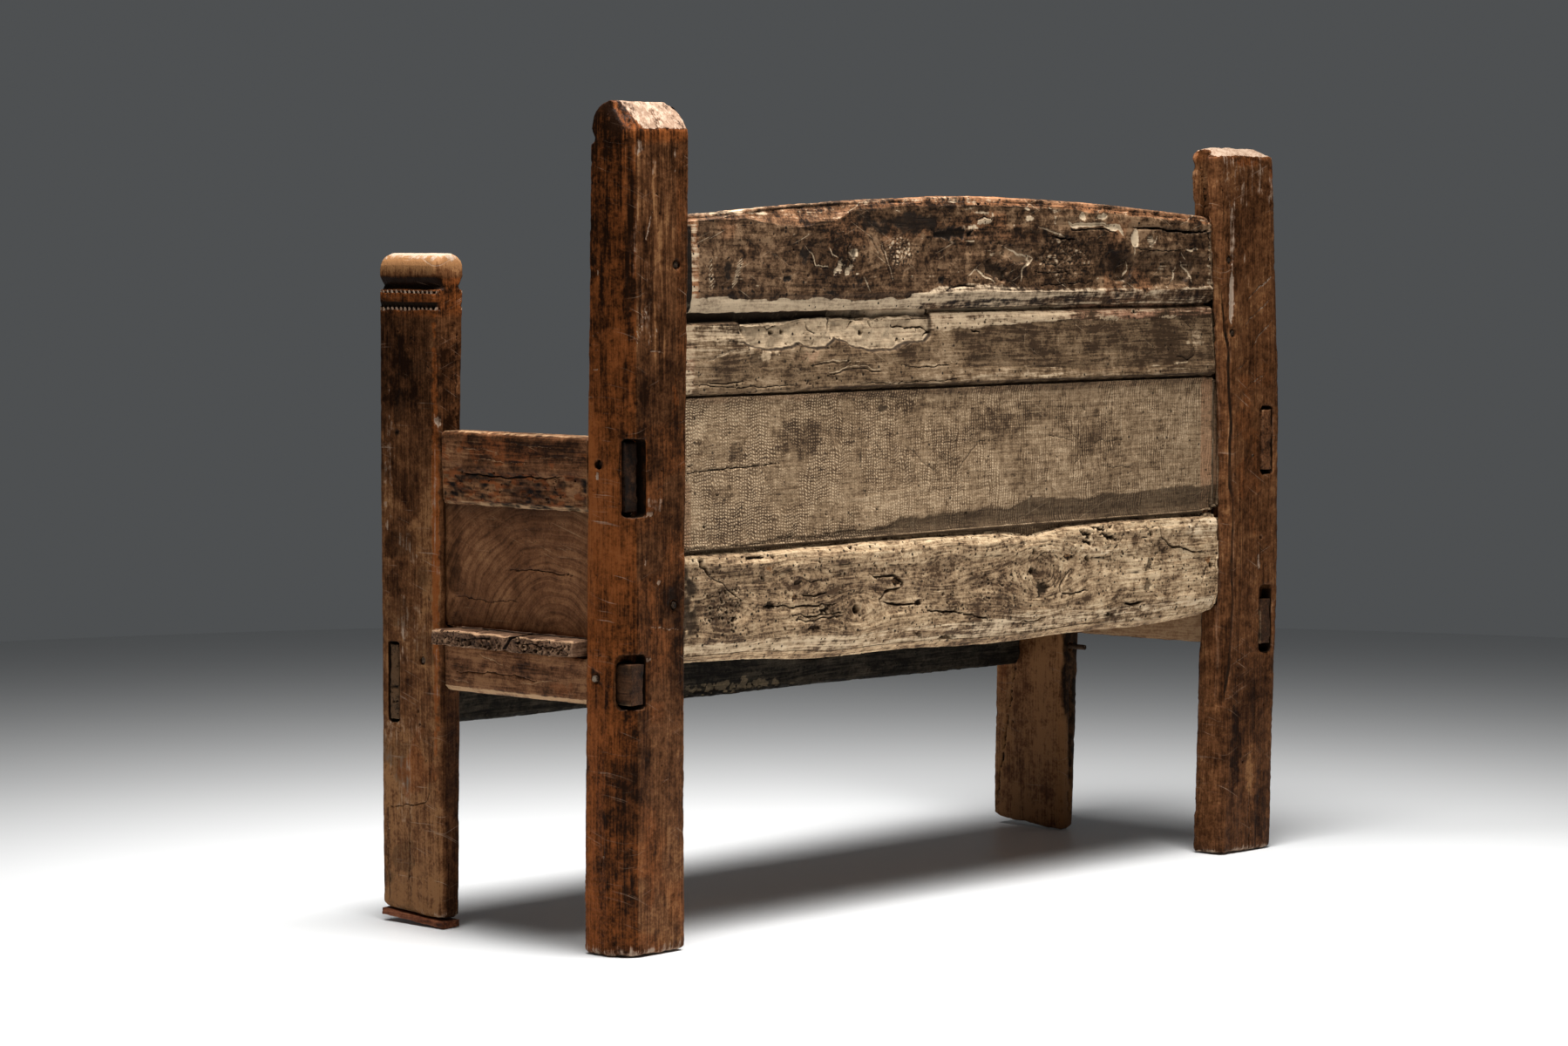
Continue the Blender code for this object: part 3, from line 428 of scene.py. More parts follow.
    def grain_of(self, along, pith, knots):
        """Coordinates along and across the grain, with the grain bent round the knots."""
        others = [i for i in range(3) if i != along]
        grain = np.stack([self.at[:, along], self.at[:, others[0]] - pith[0], self.at[:, others[1]] - pith[1]], axis=1)
        for (place, height), spread, squeeze in knots:
            ahead, above = self.at[:, along] - place, self.at[:, others[1]] - height
            near = np.exp(-((ahead / 1.7) ** 2 + above ** 2) / spread ** 2)
            grain[:, 2] -= squeeze * above * near
            grain[:, 1] += squeeze * 0.5 * spread * near
        sway = noise(self.at, 0.22, self.seed)
        grain[:, 2] += 0.004 * sway
        return grain

    def faces(self, face):
        axis, sign = FACES[face]
        return smooth(0.25, 0.7, self.out[:, axis] * sign)

    def hew(self, depth, fibre, chip):
        """Uneven faces along the grain, raised fibres and chipped edges."""
        long = np.array([5.0, 1.0, 1.0])
        g = self.grain + self.seed
        self.cut += depth * (0.5 + 0.5 * noise(g, 0.055 * long, self.seed, 3))
        self.cut += fibre * (0.5 + 0.5 * noise(g, np.array([0.09, 0.007, 0.007]), self.seed + 1, 2))
        outer = np.clip(self.edge, 0, 1)
        torn = smooth(0.05, 0.5, noise(self.at, 0.024, self.seed + 2, 3))
        self.cut += chip * outer * (0.35 + torn + 0.35 * noise(self.at, 0.006, self.seed + 3, 2))

    def tint(self, name, amount):
        setattr(self, name, np.maximum(getattr(self, name), amount))

    def press(self, mark):
        axis, sign = FACES[mark.face]
        chosen = np.flatnonzero((self.out[:, axis] * sign > 0.26) & mark.near(self.at, 0.0))
        facing = smooth(0.25, 0.7, self.out[chosen, axis] * sign)
        amount = np.zeros(len(self.cut))
        amount[chosen] = mark.amount(self.at[chosen]) * facing
        self.cut += mark.depth * amount
        self.shade += mark.shade * amount
        for name in ("pale", "grime", "warm"):
            if getattr(mark, name):
                self.tint(name, getattr(mark, name) * amount)

    def finish(self, material, slot):
        """Presses everything in, stores what the finish reads, and puts the piece on the bench."""
        for mark in self.marks:
            self.press(mark)
        self.reshape(self.at - self.out * np.clip(self.cut * self.loose, -0.0006, 0.02)[:, None])
        mesh = self.piece.data
        mesh.shade_smooth()
        spans = np.linalg.norm(self.at[self.ends[:, 0]] - self.at[self.ends[:, 1]], axis=1)
        form = self.convexity(6, float(np.median(spans)))
        self.store("grain", self.grain + self.seed * 0.37)
        # pale, grime and red-brown wax; some of the pale is painted highlight and some of the grime is painted shade
        self.store("wear", np.stack([self.pale, self.grime, self.warm], axis=1))
        self.store("form", np.stack([np.clip(form, 0, 1), np.clip(-form, 0, 1), self.shade], axis=1))
        mesh.materials.clear()
        mesh.materials.append(material)
        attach(self.piece, "root")
        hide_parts(self.node)

    def store(self, name, values):
        layer = self.piece.data.attributes.new(name, "FLOAT_VECTOR", "POINT")
        layer.data.foreach_set("vector", values.astype(np.float32).ravel())


# Finishes
class Value:
    """A shader socket. Arithmetic on it adds Math nodes."""

    def __init__(self, finish, socket):
        self.finish = finish
        self.socket = socket

    def math(self, operation, *values):
        return self.finish.node("ShaderNodeMath", {"operation": operation}, values)

    def __add__(self, other):
        return self.math("ADD", self, other)

    def __sub__(self, other):
        return self.math("SUBTRACT", self, other)

    def __rsub__(self, other):
        return self.math("SUBTRACT", other, self)

    def __mul__(self, other):
        return self.math("MULTIPLY", self, other)

    def __truediv__(self, other):
        return self.math("DIVIDE", self, other)

    def __pow__(self, other):
        return self.math("POWER", self, other)

    __radd__ = __add__
    __rmul__ = __mul__

    def most(self, other):
        return self.math("MAXIMUM", self, other)

    def between(self, low, high):
        """0 at low and 1 at high, eased."""
        settings = {"interpolation_type": "SMOOTHSTEP"}
        return self.finish.node("ShaderNodeMapRange", settings, {"Value": self, "From Min": low, "From Max": high})


class Finish:
    """One procedural material."""

    def __init__(self, name):
        self.material = bpy.data.materials.new(name)
        self.material.use_nodes = True
        self.tree = self.material.node_tree
        self.shader = self.tree.nodes["Principled BSDF"]

    def node(self, kind, settings, inputs, output=0):
        """Any node: its settings, then its sockets by order or by name."""
        made = self.tree.nodes.new(kind)
        for key, value in settings.items():
            if key == "stops":
                self.set_stops(made.color_ramp, value)
            else:
                setattr(made, key, value)
        for key, value in inputs.items() if isinstance(inputs, dict) else enumerate(inputs):
            self.feed(made.inputs[key], value)
        return Value(self, made.outputs[output])

    def feed(self, socket, value):
        if isinstance(value, Value):
            self.tree.links.new(value.socket, socket)
        else:
            socket.default_value = value

    @staticmethod
    def set_stops(ramp, stops):
        while len(ramp.elements) < len(stops):
            ramp.elements.new(1.0)
        for element, (place, colour) in zip(ramp.elements, stops):
            element.position = place
            element.color = (*colour, 1.0)

    def place(self):
        return self.node("ShaderNodeTexCoord", {}, {}, "Object")

    def stored(self, name):
        return self.node("ShaderNodeAttribute", {"attribute_name": name}, {}, "Vector")

    def parts(self, vector):
        split = self.node("ShaderNodeSeparateXYZ", {}, [vector])
        outputs = split.socket.node.outputs
        return [Value(self, outputs[i]) for i in range(3)]

    def scaled(self, vector, by):
        return self.node("ShaderNodeVectorMath", {"operation": "MULTIPLY"}, [vector, by])

    def noise(self, vector, by, detail=3.0, roughness=0.55, distortion=0.0):
        return self.node("ShaderNodeTexNoise", {}, {
            "Vector": self.scaled(vector, by), "Scale": 1.0, "Detail": detail, "Roughness": roughness,
            "Distortion": distortion})

    def ramp(self, factor, stops):
        return self.node("ShaderNodeValToRGB", {"stops": stops}, [factor])

    def mix(self, factor, first, second, blend="MIX"):
        settings = {"data_type": "RGBA", "blend_type": blend}
        return self.node("ShaderNodeMix", settings, {0: factor, 6: self.colour(first), 7: self.colour(second)}, 2)

    @staticmethod
    def colour(value):
        return value if isinstance(value, Value) else (*value, 1.0)

    def scratches(self, place, turn, fineness, amount):
        """Thin straight scratches that lie at one turn."""
        turned = self.node("ShaderNodeMapping", {}, {"Vector": place, "Rotation": turn})
        lines = self.noise(turned, (9.0, 9.0, fineness), 2.0, 0.5, 0.15)
        where = self.noise(place, (16.0, 16.0, 16.0), 2.0)
        return lines.between(0.66, 0.74) * where.between(0.45, 0.65) * amount

    def dots(self, place, density, size, share):
        """Tiny worm holes in some of the cells of a scatter."""
        settings = {"feature": "F1"}
        cells = self.node("ShaderNodeTexVoronoi", settings, {"Vector": place, "Scale": density, "Randomness": 1.0})
        lot = self.parts(Value(self, cells.socket.node.outputs["Color"]))[0]
        return cells.between(size, size * 0.5) * lot.between(1.0 - share, 1.0 - share + 0.02)


@dataclass
class Wood:
    """What one finish looks like: its tones from dark to light and its marks."""

    tones: tuple
    pale: tuple
    grime: tuple
    warm: tuple
    rough: tuple = (0.55, 0.8)
    coat: float = 0.0
    gloss: float = 0.10      # specular level
    patch: float = 1.0       # contrast of broad stains
    streak: float = 1.0      # contrast of streaks along the grain
    fibre: float = 1.0       # contrast of fine fibres
    mottle: float = 1.0      # contrast of small spots
    lines: float = 0.3       # dark lines along the grain
    pits: float = 0.3        # dark specks
    rings: float = 0.0       # contrast of the growth rings
    ring_width: float = 0.005
    scratch: float = 0.3
    worms: float = 0.0       # share of the scatter that is a worm hole
    kerfs: float = 0.0       # contrast of upright saw marks
    edge_wear: float = 0.5
    soil: float = 0.8        # dirt in the hollows
    bump: float = 0.6


def wood_finish(name, wood):
    finish = Finish(name)
    place = finish.place()
    grain = finish.stored("grain")
    pale, grime, warm = finish.parts(finish.stored("wear"))
    edge, hollow, shade = finish.parts(finish.stored("form"))
    streak = finish.noise(grain, (3.5, 75.0, 75.0), 4.0, 0.6, 0.4) - 0.5
    fibre = finish.noise(grain, (20.0, 330.0, 330.0), 3.0, 0.65) - 0.5
    patch = finish.noise(place, (11.0, 11.0, 11.0), 5.0, 0.62, 0.6) - 0.5
    mottle = finish.noise(place, (70.0, 70.0, 70.0), 4.0, 0.65) - 0.5
    speck = finish.noise(place, (260.0, 260.0, 260.0), 2.0, 0.6) - 0.5
    line = finish.noise(grain, (6.0, 150.0, 150.0), 3.0, 0.6, 0.3).between(0.57, 0.70)
    pits = (speck + fibre * 0.6 + mottle * 0.5).between(0.12, 0.24)

    tone = streak * (1.4 * wood.streak) + fibre * (1.9 * wood.fibre) + patch * (1.7 * wood.patch)
    tone = tone + mottle * (1.3 * wood.mottle) + speck * (0.8 * wood.mottle) + shade + 0.5
    tone = tone - line * wood.lines - pits * wood.pits
    if wood.rings:
        _, across, above = finish.parts(grain)
        reach = finish.node("ShaderNodeMath", {"operation": "SQRT"}, [across * across + above * above])
        wobble = finish.noise(grain, (4.0, 22.0, 22.0), 2.0)
        wave = finish.node("ShaderNodeMath", {"operation": "SINE"}, [reach * (6.28 / wood.ring_width) + wobble * 9.0])
        late = (wave * 0.5 + 0.5) ** 3.0
        tone = tone - late * (patch + 0.5).between(0.2, 0.7) * wood.rings
    if wood.kerfs:
        across, _, above = finish.parts(place)
        sway = finish.noise(place, (42.0, 1.5, 24.0), 3.0) * 18.0
        upright = finish.node("ShaderNodeMath", {"operation": "SINE"}, [across * (6.28 / 0.0052) + sway])
        thread = finish.node("ShaderNodeMath", {"operation": "SINE"}, [above * (6.28 / 0.0046) + sway * 1.7])
        broken = finish.noise(place, (170.0, 1.5, 120.0), 2.0, 0.6)
        strength = finish.noise(place, (14.0, 9.0, 14.0), 3.0).between(0.35, 0.65) * 1.1 + 0.2
        thread = thread * (across * 3.0 + 0.9).most(0.3)
        kerf = (upright * 0.17 + thread * 0.10 + upright * thread * 0.10) * (broken + 0.1) * strength
        kerf = kerf + (broken - 0.5) * 0.35
        tone = tone + kerf * wood.kerfs

    last = len(wood.tones) - 1
    stops = [(0.08 + 0.84 * i / last, colour) for i, colour in enumerate(wood.tones)]
    colour = finish.ramp(tone, stops)
    redden = (warm * (1.0 + patch * 1.2 + streak * 0.8)).between(0.25, 0.95)
    colour = finish.mix(redden * 0.85, colour, finish.mix(tone.between(0.1, 0.85), wood.tones[0], wood.warm))

    rub = (edge * (mottle + patch + 1.0)).between(0.50, 1.2) * wood.edge_wear
    torn = streak * 1.1 + fibre * 0.9 + mottle * 0.9
    # pale wood shows where the wood is worn or torn, and also where the pale channel holds a painted highlight
    fresh_wood_and_highlight = (pale * 1.15 + torn).between(0.38, 0.72) * pale.between(0.03, 0.3)
    lines = finish.scratches(place, (0.0, 0.5, 0.2), 420.0, wood.scratch)
    lines = lines.most(finish.scratches(place, (0.3, -0.35, 0.0), 520.0, wood.scratch))
    fresh_wood_and_highlight = fresh_wood_and_highlight.most(rub).most(lines)
    weathered = finish.mix(0.6, wood.pale, wood.tones[-2])
    bare_wood_and_highlight = finish.mix((fibre * 1.3 + mottle + speck * 0.7 + shade + 0.5).between(0.25, 0.75), weathered, wood.pale)
    colour = finish.mix(fresh_wood_and_highlight, colour, bare_wood_and_highlight)

    # the grime channel carries real grime and also painted shade: mortises, grooves, notches, gaps and shadows under
    # rails
    stain_and_shade = (grime * (1.0 + mottle * 1.4 + streak)).between(0.15, 0.95)
    soiled = (hollow * (1.0 + patch)).between(0.2, 0.8) * (1.0 - pale * 0.9).most(0.0) * wood.soil
    dirt_and_shade = stain_and_shade.most(soiled)
    if wood.worms:
        worm = finish.dots(place, 85.0, 0.25, wood.worms).most(finish.dots(place, 150.0, 0.30, wood.worms * 0.6))
        dirt_and_shade = dirt_and_shade.most(worm)
    colour = finish.mix(dirt_and_shade, colour, wood.grime)
    finish.feed(finish.shader.inputs["Base Color"], colour)

    low, high = wood.rough
    sheen = patch * 0.9 + mottle * 0.5 + 0.5
    roughness = (sheen + dirt_and_shade * 0.4 + fresh_wood_and_highlight * 0.35).between(0.0, 1.2) * (high - low) + low
    finish.feed(finish.shader.inputs["Roughness"], roughness)
    finish.shader.inputs["Coat Weight"].default_value = wood.coat
    finish.shader.inputs["Coat Roughness"].default_value = 0.3
    finish.shader.inputs["Specular IOR Level"].default_value = wood.gloss

    height = fibre * 0.6 + streak * 0.5 + mottle * 0.4 + speck * 0.3 - dirt_and_shade * 0.35 - lines * 0.3 - pits * 0.4 - line * 0.3
    if wood.kerfs:
        height = height + kerf * 1.3
    bump = finish.node("ShaderNodeBump", {}, {"Strength": wood.bump, "Distance": 0.0015, "Height": height}, "Normal")
    finish.feed(finish.shader.inputs["Normal"], bump)
    return finish.material


WOODS = {
    "waxed_post": Wood(
        tones=((0.011, 0.0040, 0.0015), (0.044, 0.0165, 0.0060), (0.108, 0.043, 0.0165), (0.24, 0.115, 0.047)),
        pale=(0.35, 0.255, 0.185), grime=(0.010, 0.0055, 0.003), warm=(0.215, 0.060, 0.0135),
        rough=(0.36, 0.6), gloss=0.035, patch=0.55, streak=0.25, fibre=0.5, mottle=0.75, lines=0.0, pits=0.08,
        scratch=0.6, edge_wear=0.15, soil=0.35),
    "waxed_rail": Wood(
        tones=((0.016, 0.0062, 0.0024), (0.064, 0.025, 0.0095), (0.145, 0.060, 0.0250), (0.26, 0.125, 0.056)),
        pale=(0.40, 0.25, 0.135), grime=(0.008, 0.005, 0.0035), warm=(0.20, 0.056, 0.015),
        rough=(0.42, 0.7), gloss=0.08, streak=0.32, fibre=0.7, mottle=0.9, lines=0.05, rings=0.06,
        ring_width=0.011, scratch=0.5, edge_wear=0.35, soil=0.5),
    "worn_seat": Wood(
        tones=((0.030, 0.013, 0.006), (0.085, 0.042, 0.022), (0.16, 0.086, 0.050), (0.27, 0.160, 0.096)),
        pale=(0.50, 0.30, 0.17), grime=(0.012, 0.007, 0.0045), warm=(0.30, 0.12, 0.042),
        rough=(0.5, 0.8), streak=0.6, rings=0.15, scratch=0.4, worms=0.5, edge_wear=0.7),
    "crest": Wood(
        tones=((0.009, 0.0041, 0.0018), (0.039, 0.0190, 0.0084), (0.090, 0.048, 0.0235), (0.19, 0.112, 0.060)),
        pale=(0.54, 0.41, 0.27), grime=(0.009, 0.0055, 0.0032), warm=(0.26, 0.108, 0.045),
        rough=(0.5, 0.8), patch=1.1, streak=0.20, fibre=0.55, mottle=1.5, lines=0.05, pits=0.3, scratch=0.6, worms=0.15,
        edge_wear=0.10),
    "dry_board": Wood(
        tones=((0.040, 0.022, 0.011), (0.120, 0.073, 0.038), (0.210, 0.136, 0.076), (0.33, 0.230, 0.138)),
        pale=(0.50, 0.37, 0.235), grime=(0.022, 0.0135, 0.0075), warm=(0.34, 0.165, 0.095),
        rough=(0.6, 0.85), patch=0.9, streak=0.45, fibre=0.9, mottle=1.1, lines=0.10, rings=0.06, scratch=0.5,
        worms=0.25, edge_wear=0.25),
    "sawn_panel": Wood(
        tones=((0.045, 0.026, 0.014), (0.150, 0.094, 0.051), (0.285, 0.193, 0.112), (0.47, 0.340, 0.212)),
        pale=(0.48, 0.36, 0.23), grime=(0.050, 0.032, 0.018), warm=(0.28, 0.145, 0.075),
        rough=(0.6, 0.85), patch=0.45, streak=0.22, fibre=0.5, mottle=0.7, lines=0.04, pits=0.25, scratch=0.6, worms=0.1,
        kerfs=1.7, edge_wear=0.3, bump=1.0),
    "live_edge": Wood(
        tones=((0.060, 0.033, 0.017), (0.225, 0.142, 0.078), (0.415, 0.285, 0.163), (0.61, 0.450, 0.280)),
        pale=(0.66, 0.51, 0.34), grime=(0.026, 0.016, 0.009), warm=(0.30, 0.120, 0.034),
        rough=(0.6, 0.9), patch=0.8, streak=0.5, fibre=0.9, mottle=1.2, lines=0.10, pits=0.35, rings=0.06,
        ring_width=0.011, scratch=0.2, worms=0.5, edge_wear=0.35, soil=1.0, bump=0.9),
    "dark_rail": Wood(
        tones=((0.006, 0.0045, 0.003), (0.019, 0.0155, 0.0105), (0.040, 0.032, 0.022), (0.072, 0.057, 0.038)),
        pale=(0.20, 0.15, 0.09), grime=(0.006, 0.005, 0.004), warm=(0.10, 0.05, 0.022),
        rough=(0.6, 0.85), streak=0.6, scratch=0.3, worms=0.3, edge_wear=0.3),
    "fresh_shim": Wood(
        tones=((0.045, 0.013, 0.006), (0.12, 0.036, 0.015), (0.20, 0.065, 0.029), (0.29, 0.11, 0.052)),
        pale=(0.42, 0.24, 0.14), grime=(0.022, 0.011, 0.007), warm=(0.24, 0.07, 0.022),
        rough=(0.5, 0.75), streak=1.0, scratch=0.2),
    "peg": Wood(
        tones=((0.007, 0.004, 0.002), (0.022, 0.012, 0.0065), (0.052, 0.030, 0.018), (0.12, 0.080, 0.052)),
        pale=(0.28, 0.22, 0.16), grime=(0.006, 0.004, 0.003), warm=(0.12, 0.05, 0.022),
        rough=(0.5, 0.75), scratch=0.2),
}
WOODS["arched_panel"] = replace(
    WOODS["waxed_rail"], streak=0.10, fibre=0.40, mottle=0.60, patch=0.60, rings=0.15, ring_width=0.0085, lines=0.0)
FINISHES = {name: wood_finish(f"{name}_wood", wood) for name, wood in WOODS.items()}


# The timbers
def line_at(line, u):
    """Height of a line of (along, z) points."""
    places, heights = zip(*sorted(line))
    return np.interp(u, places, heights)


def under_line(timber, line, face, fade):
    """1 below a line of (along, z) points on a face, 0 above."""
    u, z = on_face(timber.at, face)
    edge = line_at(line, u) + 0.003 * noise(timber.at, 0.025, 21, 3)
    return smooth(edge, edge - fade, z) * timber.faces(face)


def cracked_skin(timber, where, size, seed, depth=0.0014, pale=0.6):
    """A net of fine dark cracks between pale flakes."""
    u, v = on_face(timber.at + 0.004 * noise(timber.at, 0.012, seed)[:, None], "rear")
    mesh = net(u, v * 1.3, size, seed)
    gaps = smooth(0.22, 0.04, mesh) * where
    timber.cut += depth * gaps
    timber.tint("grime", 0.95 * gaps)
    timber.tint("pale", pale * where * smooth(0.15, 0.5, mesh))


MORTISE_ROOM = 0.014         # a mortise's mouth is wider than its tenon by less than this


def darken_mortise(timber, rail, face):
    """Paints shade inside the mortise round a through tenon, so that it is black inside."""
    axis, sign = FACES[face]
    reach = sign * timber.at[:, axis]
    tenon = np.array([vertex.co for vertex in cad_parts[rail].data.vertices])
    tenon = tenon[sign * tenon[:, axis] > reach.max() - 0.05]
    inside = (reach < reach.max() - 0.0025) & (reach > reach.max() - 0.05)
    inward = np.zeros(len(reach))
    for other in {0, 1, 2} - {axis}:
        low, high = tenon[:, other].min() - MORTISE_ROOM, tenon[:, other].max() + MORTISE_ROOM
        inside &= (timber.at[:, other] > low) & (timber.at[:, other] < high)
        inward += ((low + high) / 2 - timber.at[:, other]) * timber.out[:, other]
    # painted shade on the mortise's inner walls
    timber.tint("grime", inside * (inward > 0) * smooth(0.45, 0.25, sign * timber.out[:, axis]))


def make_rear_post_right():
    marks = [
        patch("rear", (0.694, 0.885), (0.018, 0.040), 0.0012, pale=0.32, ragged=0.9, soft=0.9),
        patch("rear", (0.659, 0.951), (0.008, 0.020), 0.0004, pale=0.28, ragged=0.9),
        patch("rear", (0.683, 0.930), (0.012, 0.030), pale=0.26, ragged=0.9),
        patch("rear", (0.676, 1.083), (0.016, 0.026), pale=0.24, ragged=0.9),
        patch("rear", (0.643, 1.090), (0.006, 0.025), pale=0.26, ragged=0.9),
        patch("rear", (0.705, 1.110), (0.008, 0.014), 0.0016, pale=0.5, ragged=0.6),
        patch("rear", (0.650, 0.815), (0.022, 0.022), shade=-0.22, ragged=0.6),
        patch("rear", (0.698, 0.765), (0.014, 0.045), shade=-0.25, ragged=0.5),
        patch("rear", (0.640, 0.76), (0.006, 0.030), warm=0.9, ragged=0.6),
        patch("rear", (0.646, 0.488), (0.011, 0.020), 0.0012, grime=0.75, ragged=0.25),
        patch("rear", (0.648, 0.49), (0.024, 0.045), shade=-0.25, ragged=0.5),
        patch("rear", (0.636, 0.40), (0.018, 0.055), shade=-0.22, ragged=0.5),
        patch("rear", (0.700, 0.30), (0.016, 0.10), shade=-0.22, warm=0.4, ragged=0.4),
        patch("rear", (0.690, 0.12), (0.014, 0.07), shade=-0.16, warm=0.5, ragged=0.4),
        patch("rear", (0.672, 0.515), (0.004, 0.006), 0.0006, pale=0.75, ragged=0.3),
        patch("rear", (0.697, 0.545), (0.004, 0.010), 0.0008, pale=0.5, ragged=0.3),
        patch("rear", (0.694, 0.610), (0.016, 0.004), 0.0012, pale=0.8),
        patch("rear", (0.676, 0.626), (0.020, 0.012), pale=0.42, ragged=0.8),
        patch("rear", (0.692, 0.410), (0.007, 0.004), 0.002, pale=0.9),
        patch("right", (0.175, 0.68), (0.012, 0.24), warm=0.9, pale=0.2, ragged=0.4),
        patch("right", (0.200, 0.60), (0.020, 0.16), warm=0.6, ragged=0.5),
        patch("right", (0.212, 0.93), (0.004, 0.06), shade=-0.25, ragged=0.5),
        patch("right", (0.196, 0.955), (0.006, 0.014), shade=-0.3, ragged=0.4),
        patch("right", (0.205, 0.940), (0.003, 0.005), 0.0006, pale=0.9),
        patch("right", (0.203, 0.662), (0.003, 0.008), 0.0006, pale=0.9),
        patch("right", (0.214, 0.137), (0.003, 0.004), 0.001, pale=1.0),
        patch("right", (0.200, 0.384), (0.012, 0.016), 0.001, grime=0.8),
        scratch("rear", ((0.683, 1.023), (0.690, 1.00), (0.697, 0.978)), 0.0022),
        scratch("rear", ((0.692, 0.833), (0.660, 0.830)), 0.0020),
        scratch("rear", ((0.692, 0.455), (0.633, 0.448)), 0.0020, pale=0.8),
        scratch("rear", ((0.668, 0.235), (0.645, 0.243)), 0.0016, pale=0.6),
        *hatching("rear", (0.705, 0.868), 7, (0.004, 0.016), (-0.0035, 0.006), 0.8, 0.0014),
        *hatching("rear", (0.684, 0.850), 5, (0.003, 0.014), (-0.0040, 0.005), 0.6, 0.0014),
        *hatching("right", (0.200, 0.832), 3, (0.012, 0.002), (0.001, 0.024), 0.5, 0.0014),
        crack("right", ((0.214, 0.175), (0.212, 0.137), (0.210, 0.120)), 0.0024, 0.004),
        *worm_holes("rear", (0.63, 0.05), (0.70, 1.1), 26, (0.0007, 0.0014), 71),
        *worm_holes("right", (0.18, 0.05), (0.21, 1.1), 16, (0.0007, 0.0014), 72),
    ]
    timber = Timber("rear_post_right", 0.0044, 2, 3, marks, pith=(0.66, 0.14), dense=("rear", "right"))
    timber.soften(smooth(1.120, 1.135, timber.at[:, 2]), 4)
    timber.hew(0.0022, 0.0007, 0.0022)
    x, y, z = timber.at.T
    behind, outside = timber.faces("rear"), timber.faces("right")
    upper = smooth(0.74, 0.86, z + 0.03 * noise(timber.at, 0.06, 6, 2))
    worn = smooth(-0.15, 0.6, noise(timber.grain, np.array([0.10, 0.012, 0.012]), 8, 3))
    middle = smooth(0.630, 0.650, x)
    timber.tint("pale", 0.25 * worn * upper * behind * middle * smooth(1.14, 1.10, z))
    fibres = noise(timber.grain, np.array([0.07, 0.006, 0.006]), 44, 3)
    timber.shade += (0.10 + 0.34 * fibres) * upper * behind * middle
    timber.cut += 0.0008 * fibres * upper * behind * middle
    timber.shade -= 0.08 * behind + 0.05 * smooth(0.88, 0.72, z) * smooth(0.45, 0.62, z) * behind
    timber.tint("warm", 0.55 * smooth(0.86, 0.74, z) * behind * smooth(-0.5, 0.4, noise(timber.at, 0.07, 18, 2)))
    timber.tint("warm", 0.5 * behind * (1 - middle) * upper)
    lit_strip = smooth(0.212, 0.190, y + 0.006 * noise(timber.at, 0.08, 45, 2))
    timber.tint("warm", 0.88 * outside)
    timber.shade += (0.12 * lit_strip - 0.06) * outside * smooth(0.86, 0.76, z)
    timber.shade -= 0.08 * smooth(0.0, 0.5, noise(timber.grain, np.array([0.22, 0.010, 0.010]), 40, 2)) * outside
    # painted shade and painted floor bounce, partly the wood's own tone: the outer face darker towards its top and
    # lighter in a band lower down, the other faces lighter near the foot
    timber.shade -= 0.22 * smooth(0.80, 1.02, z) * outside
    timber.shade += 0.22 * smooth(0.80, 0.68, z) * smooth(0.40, 0.55, z) * outside
    timber.shade += 0.16 * smooth(0.42, 0.20, z) * (1 - outside)
    crown = smooth(0.30, 0.75, timber.out[:, 2]) * smooth(1.10, 1.14, z)
    slope = smooth(0.712, 0.700, x + 0.6 * np.clip(1.150 - z, -0.02, 0.03))
    timber.tint("pale", 1.0 * crown * slope)
    timber.shade -= 0.14 * crown * slope
    timber.shade -= 0.10 * smooth(1.10, 1.14, z) * (1 - slope)
    timber.tint("warm", 0.9 * smooth(1.10, 1.13, z) * (1 - crown * slope))
    for rail in ("arm_rail_right", "seat_rail_right"):
        darken_mortise(timber, rail, "rear")
    rough_foot = smooth(0.03, 0.0, z)
    timber.cut += rough_foot * 0.0015 * noise(timber.at, 0.008, 9, 2)
    timber.tint("pale", 0.45 * rough_foot)
    ripple = np.sin(z * 2 * math.pi / 0.0085) * smooth(0.0, 0.4, noise(timber.at, 0.07, 10))
    timber.cut += 0.0003 * ripple * outside * smooth(0.40, 0.30, z)
    timber.finish(FINISHES["waxed_post"], "waxed_post")


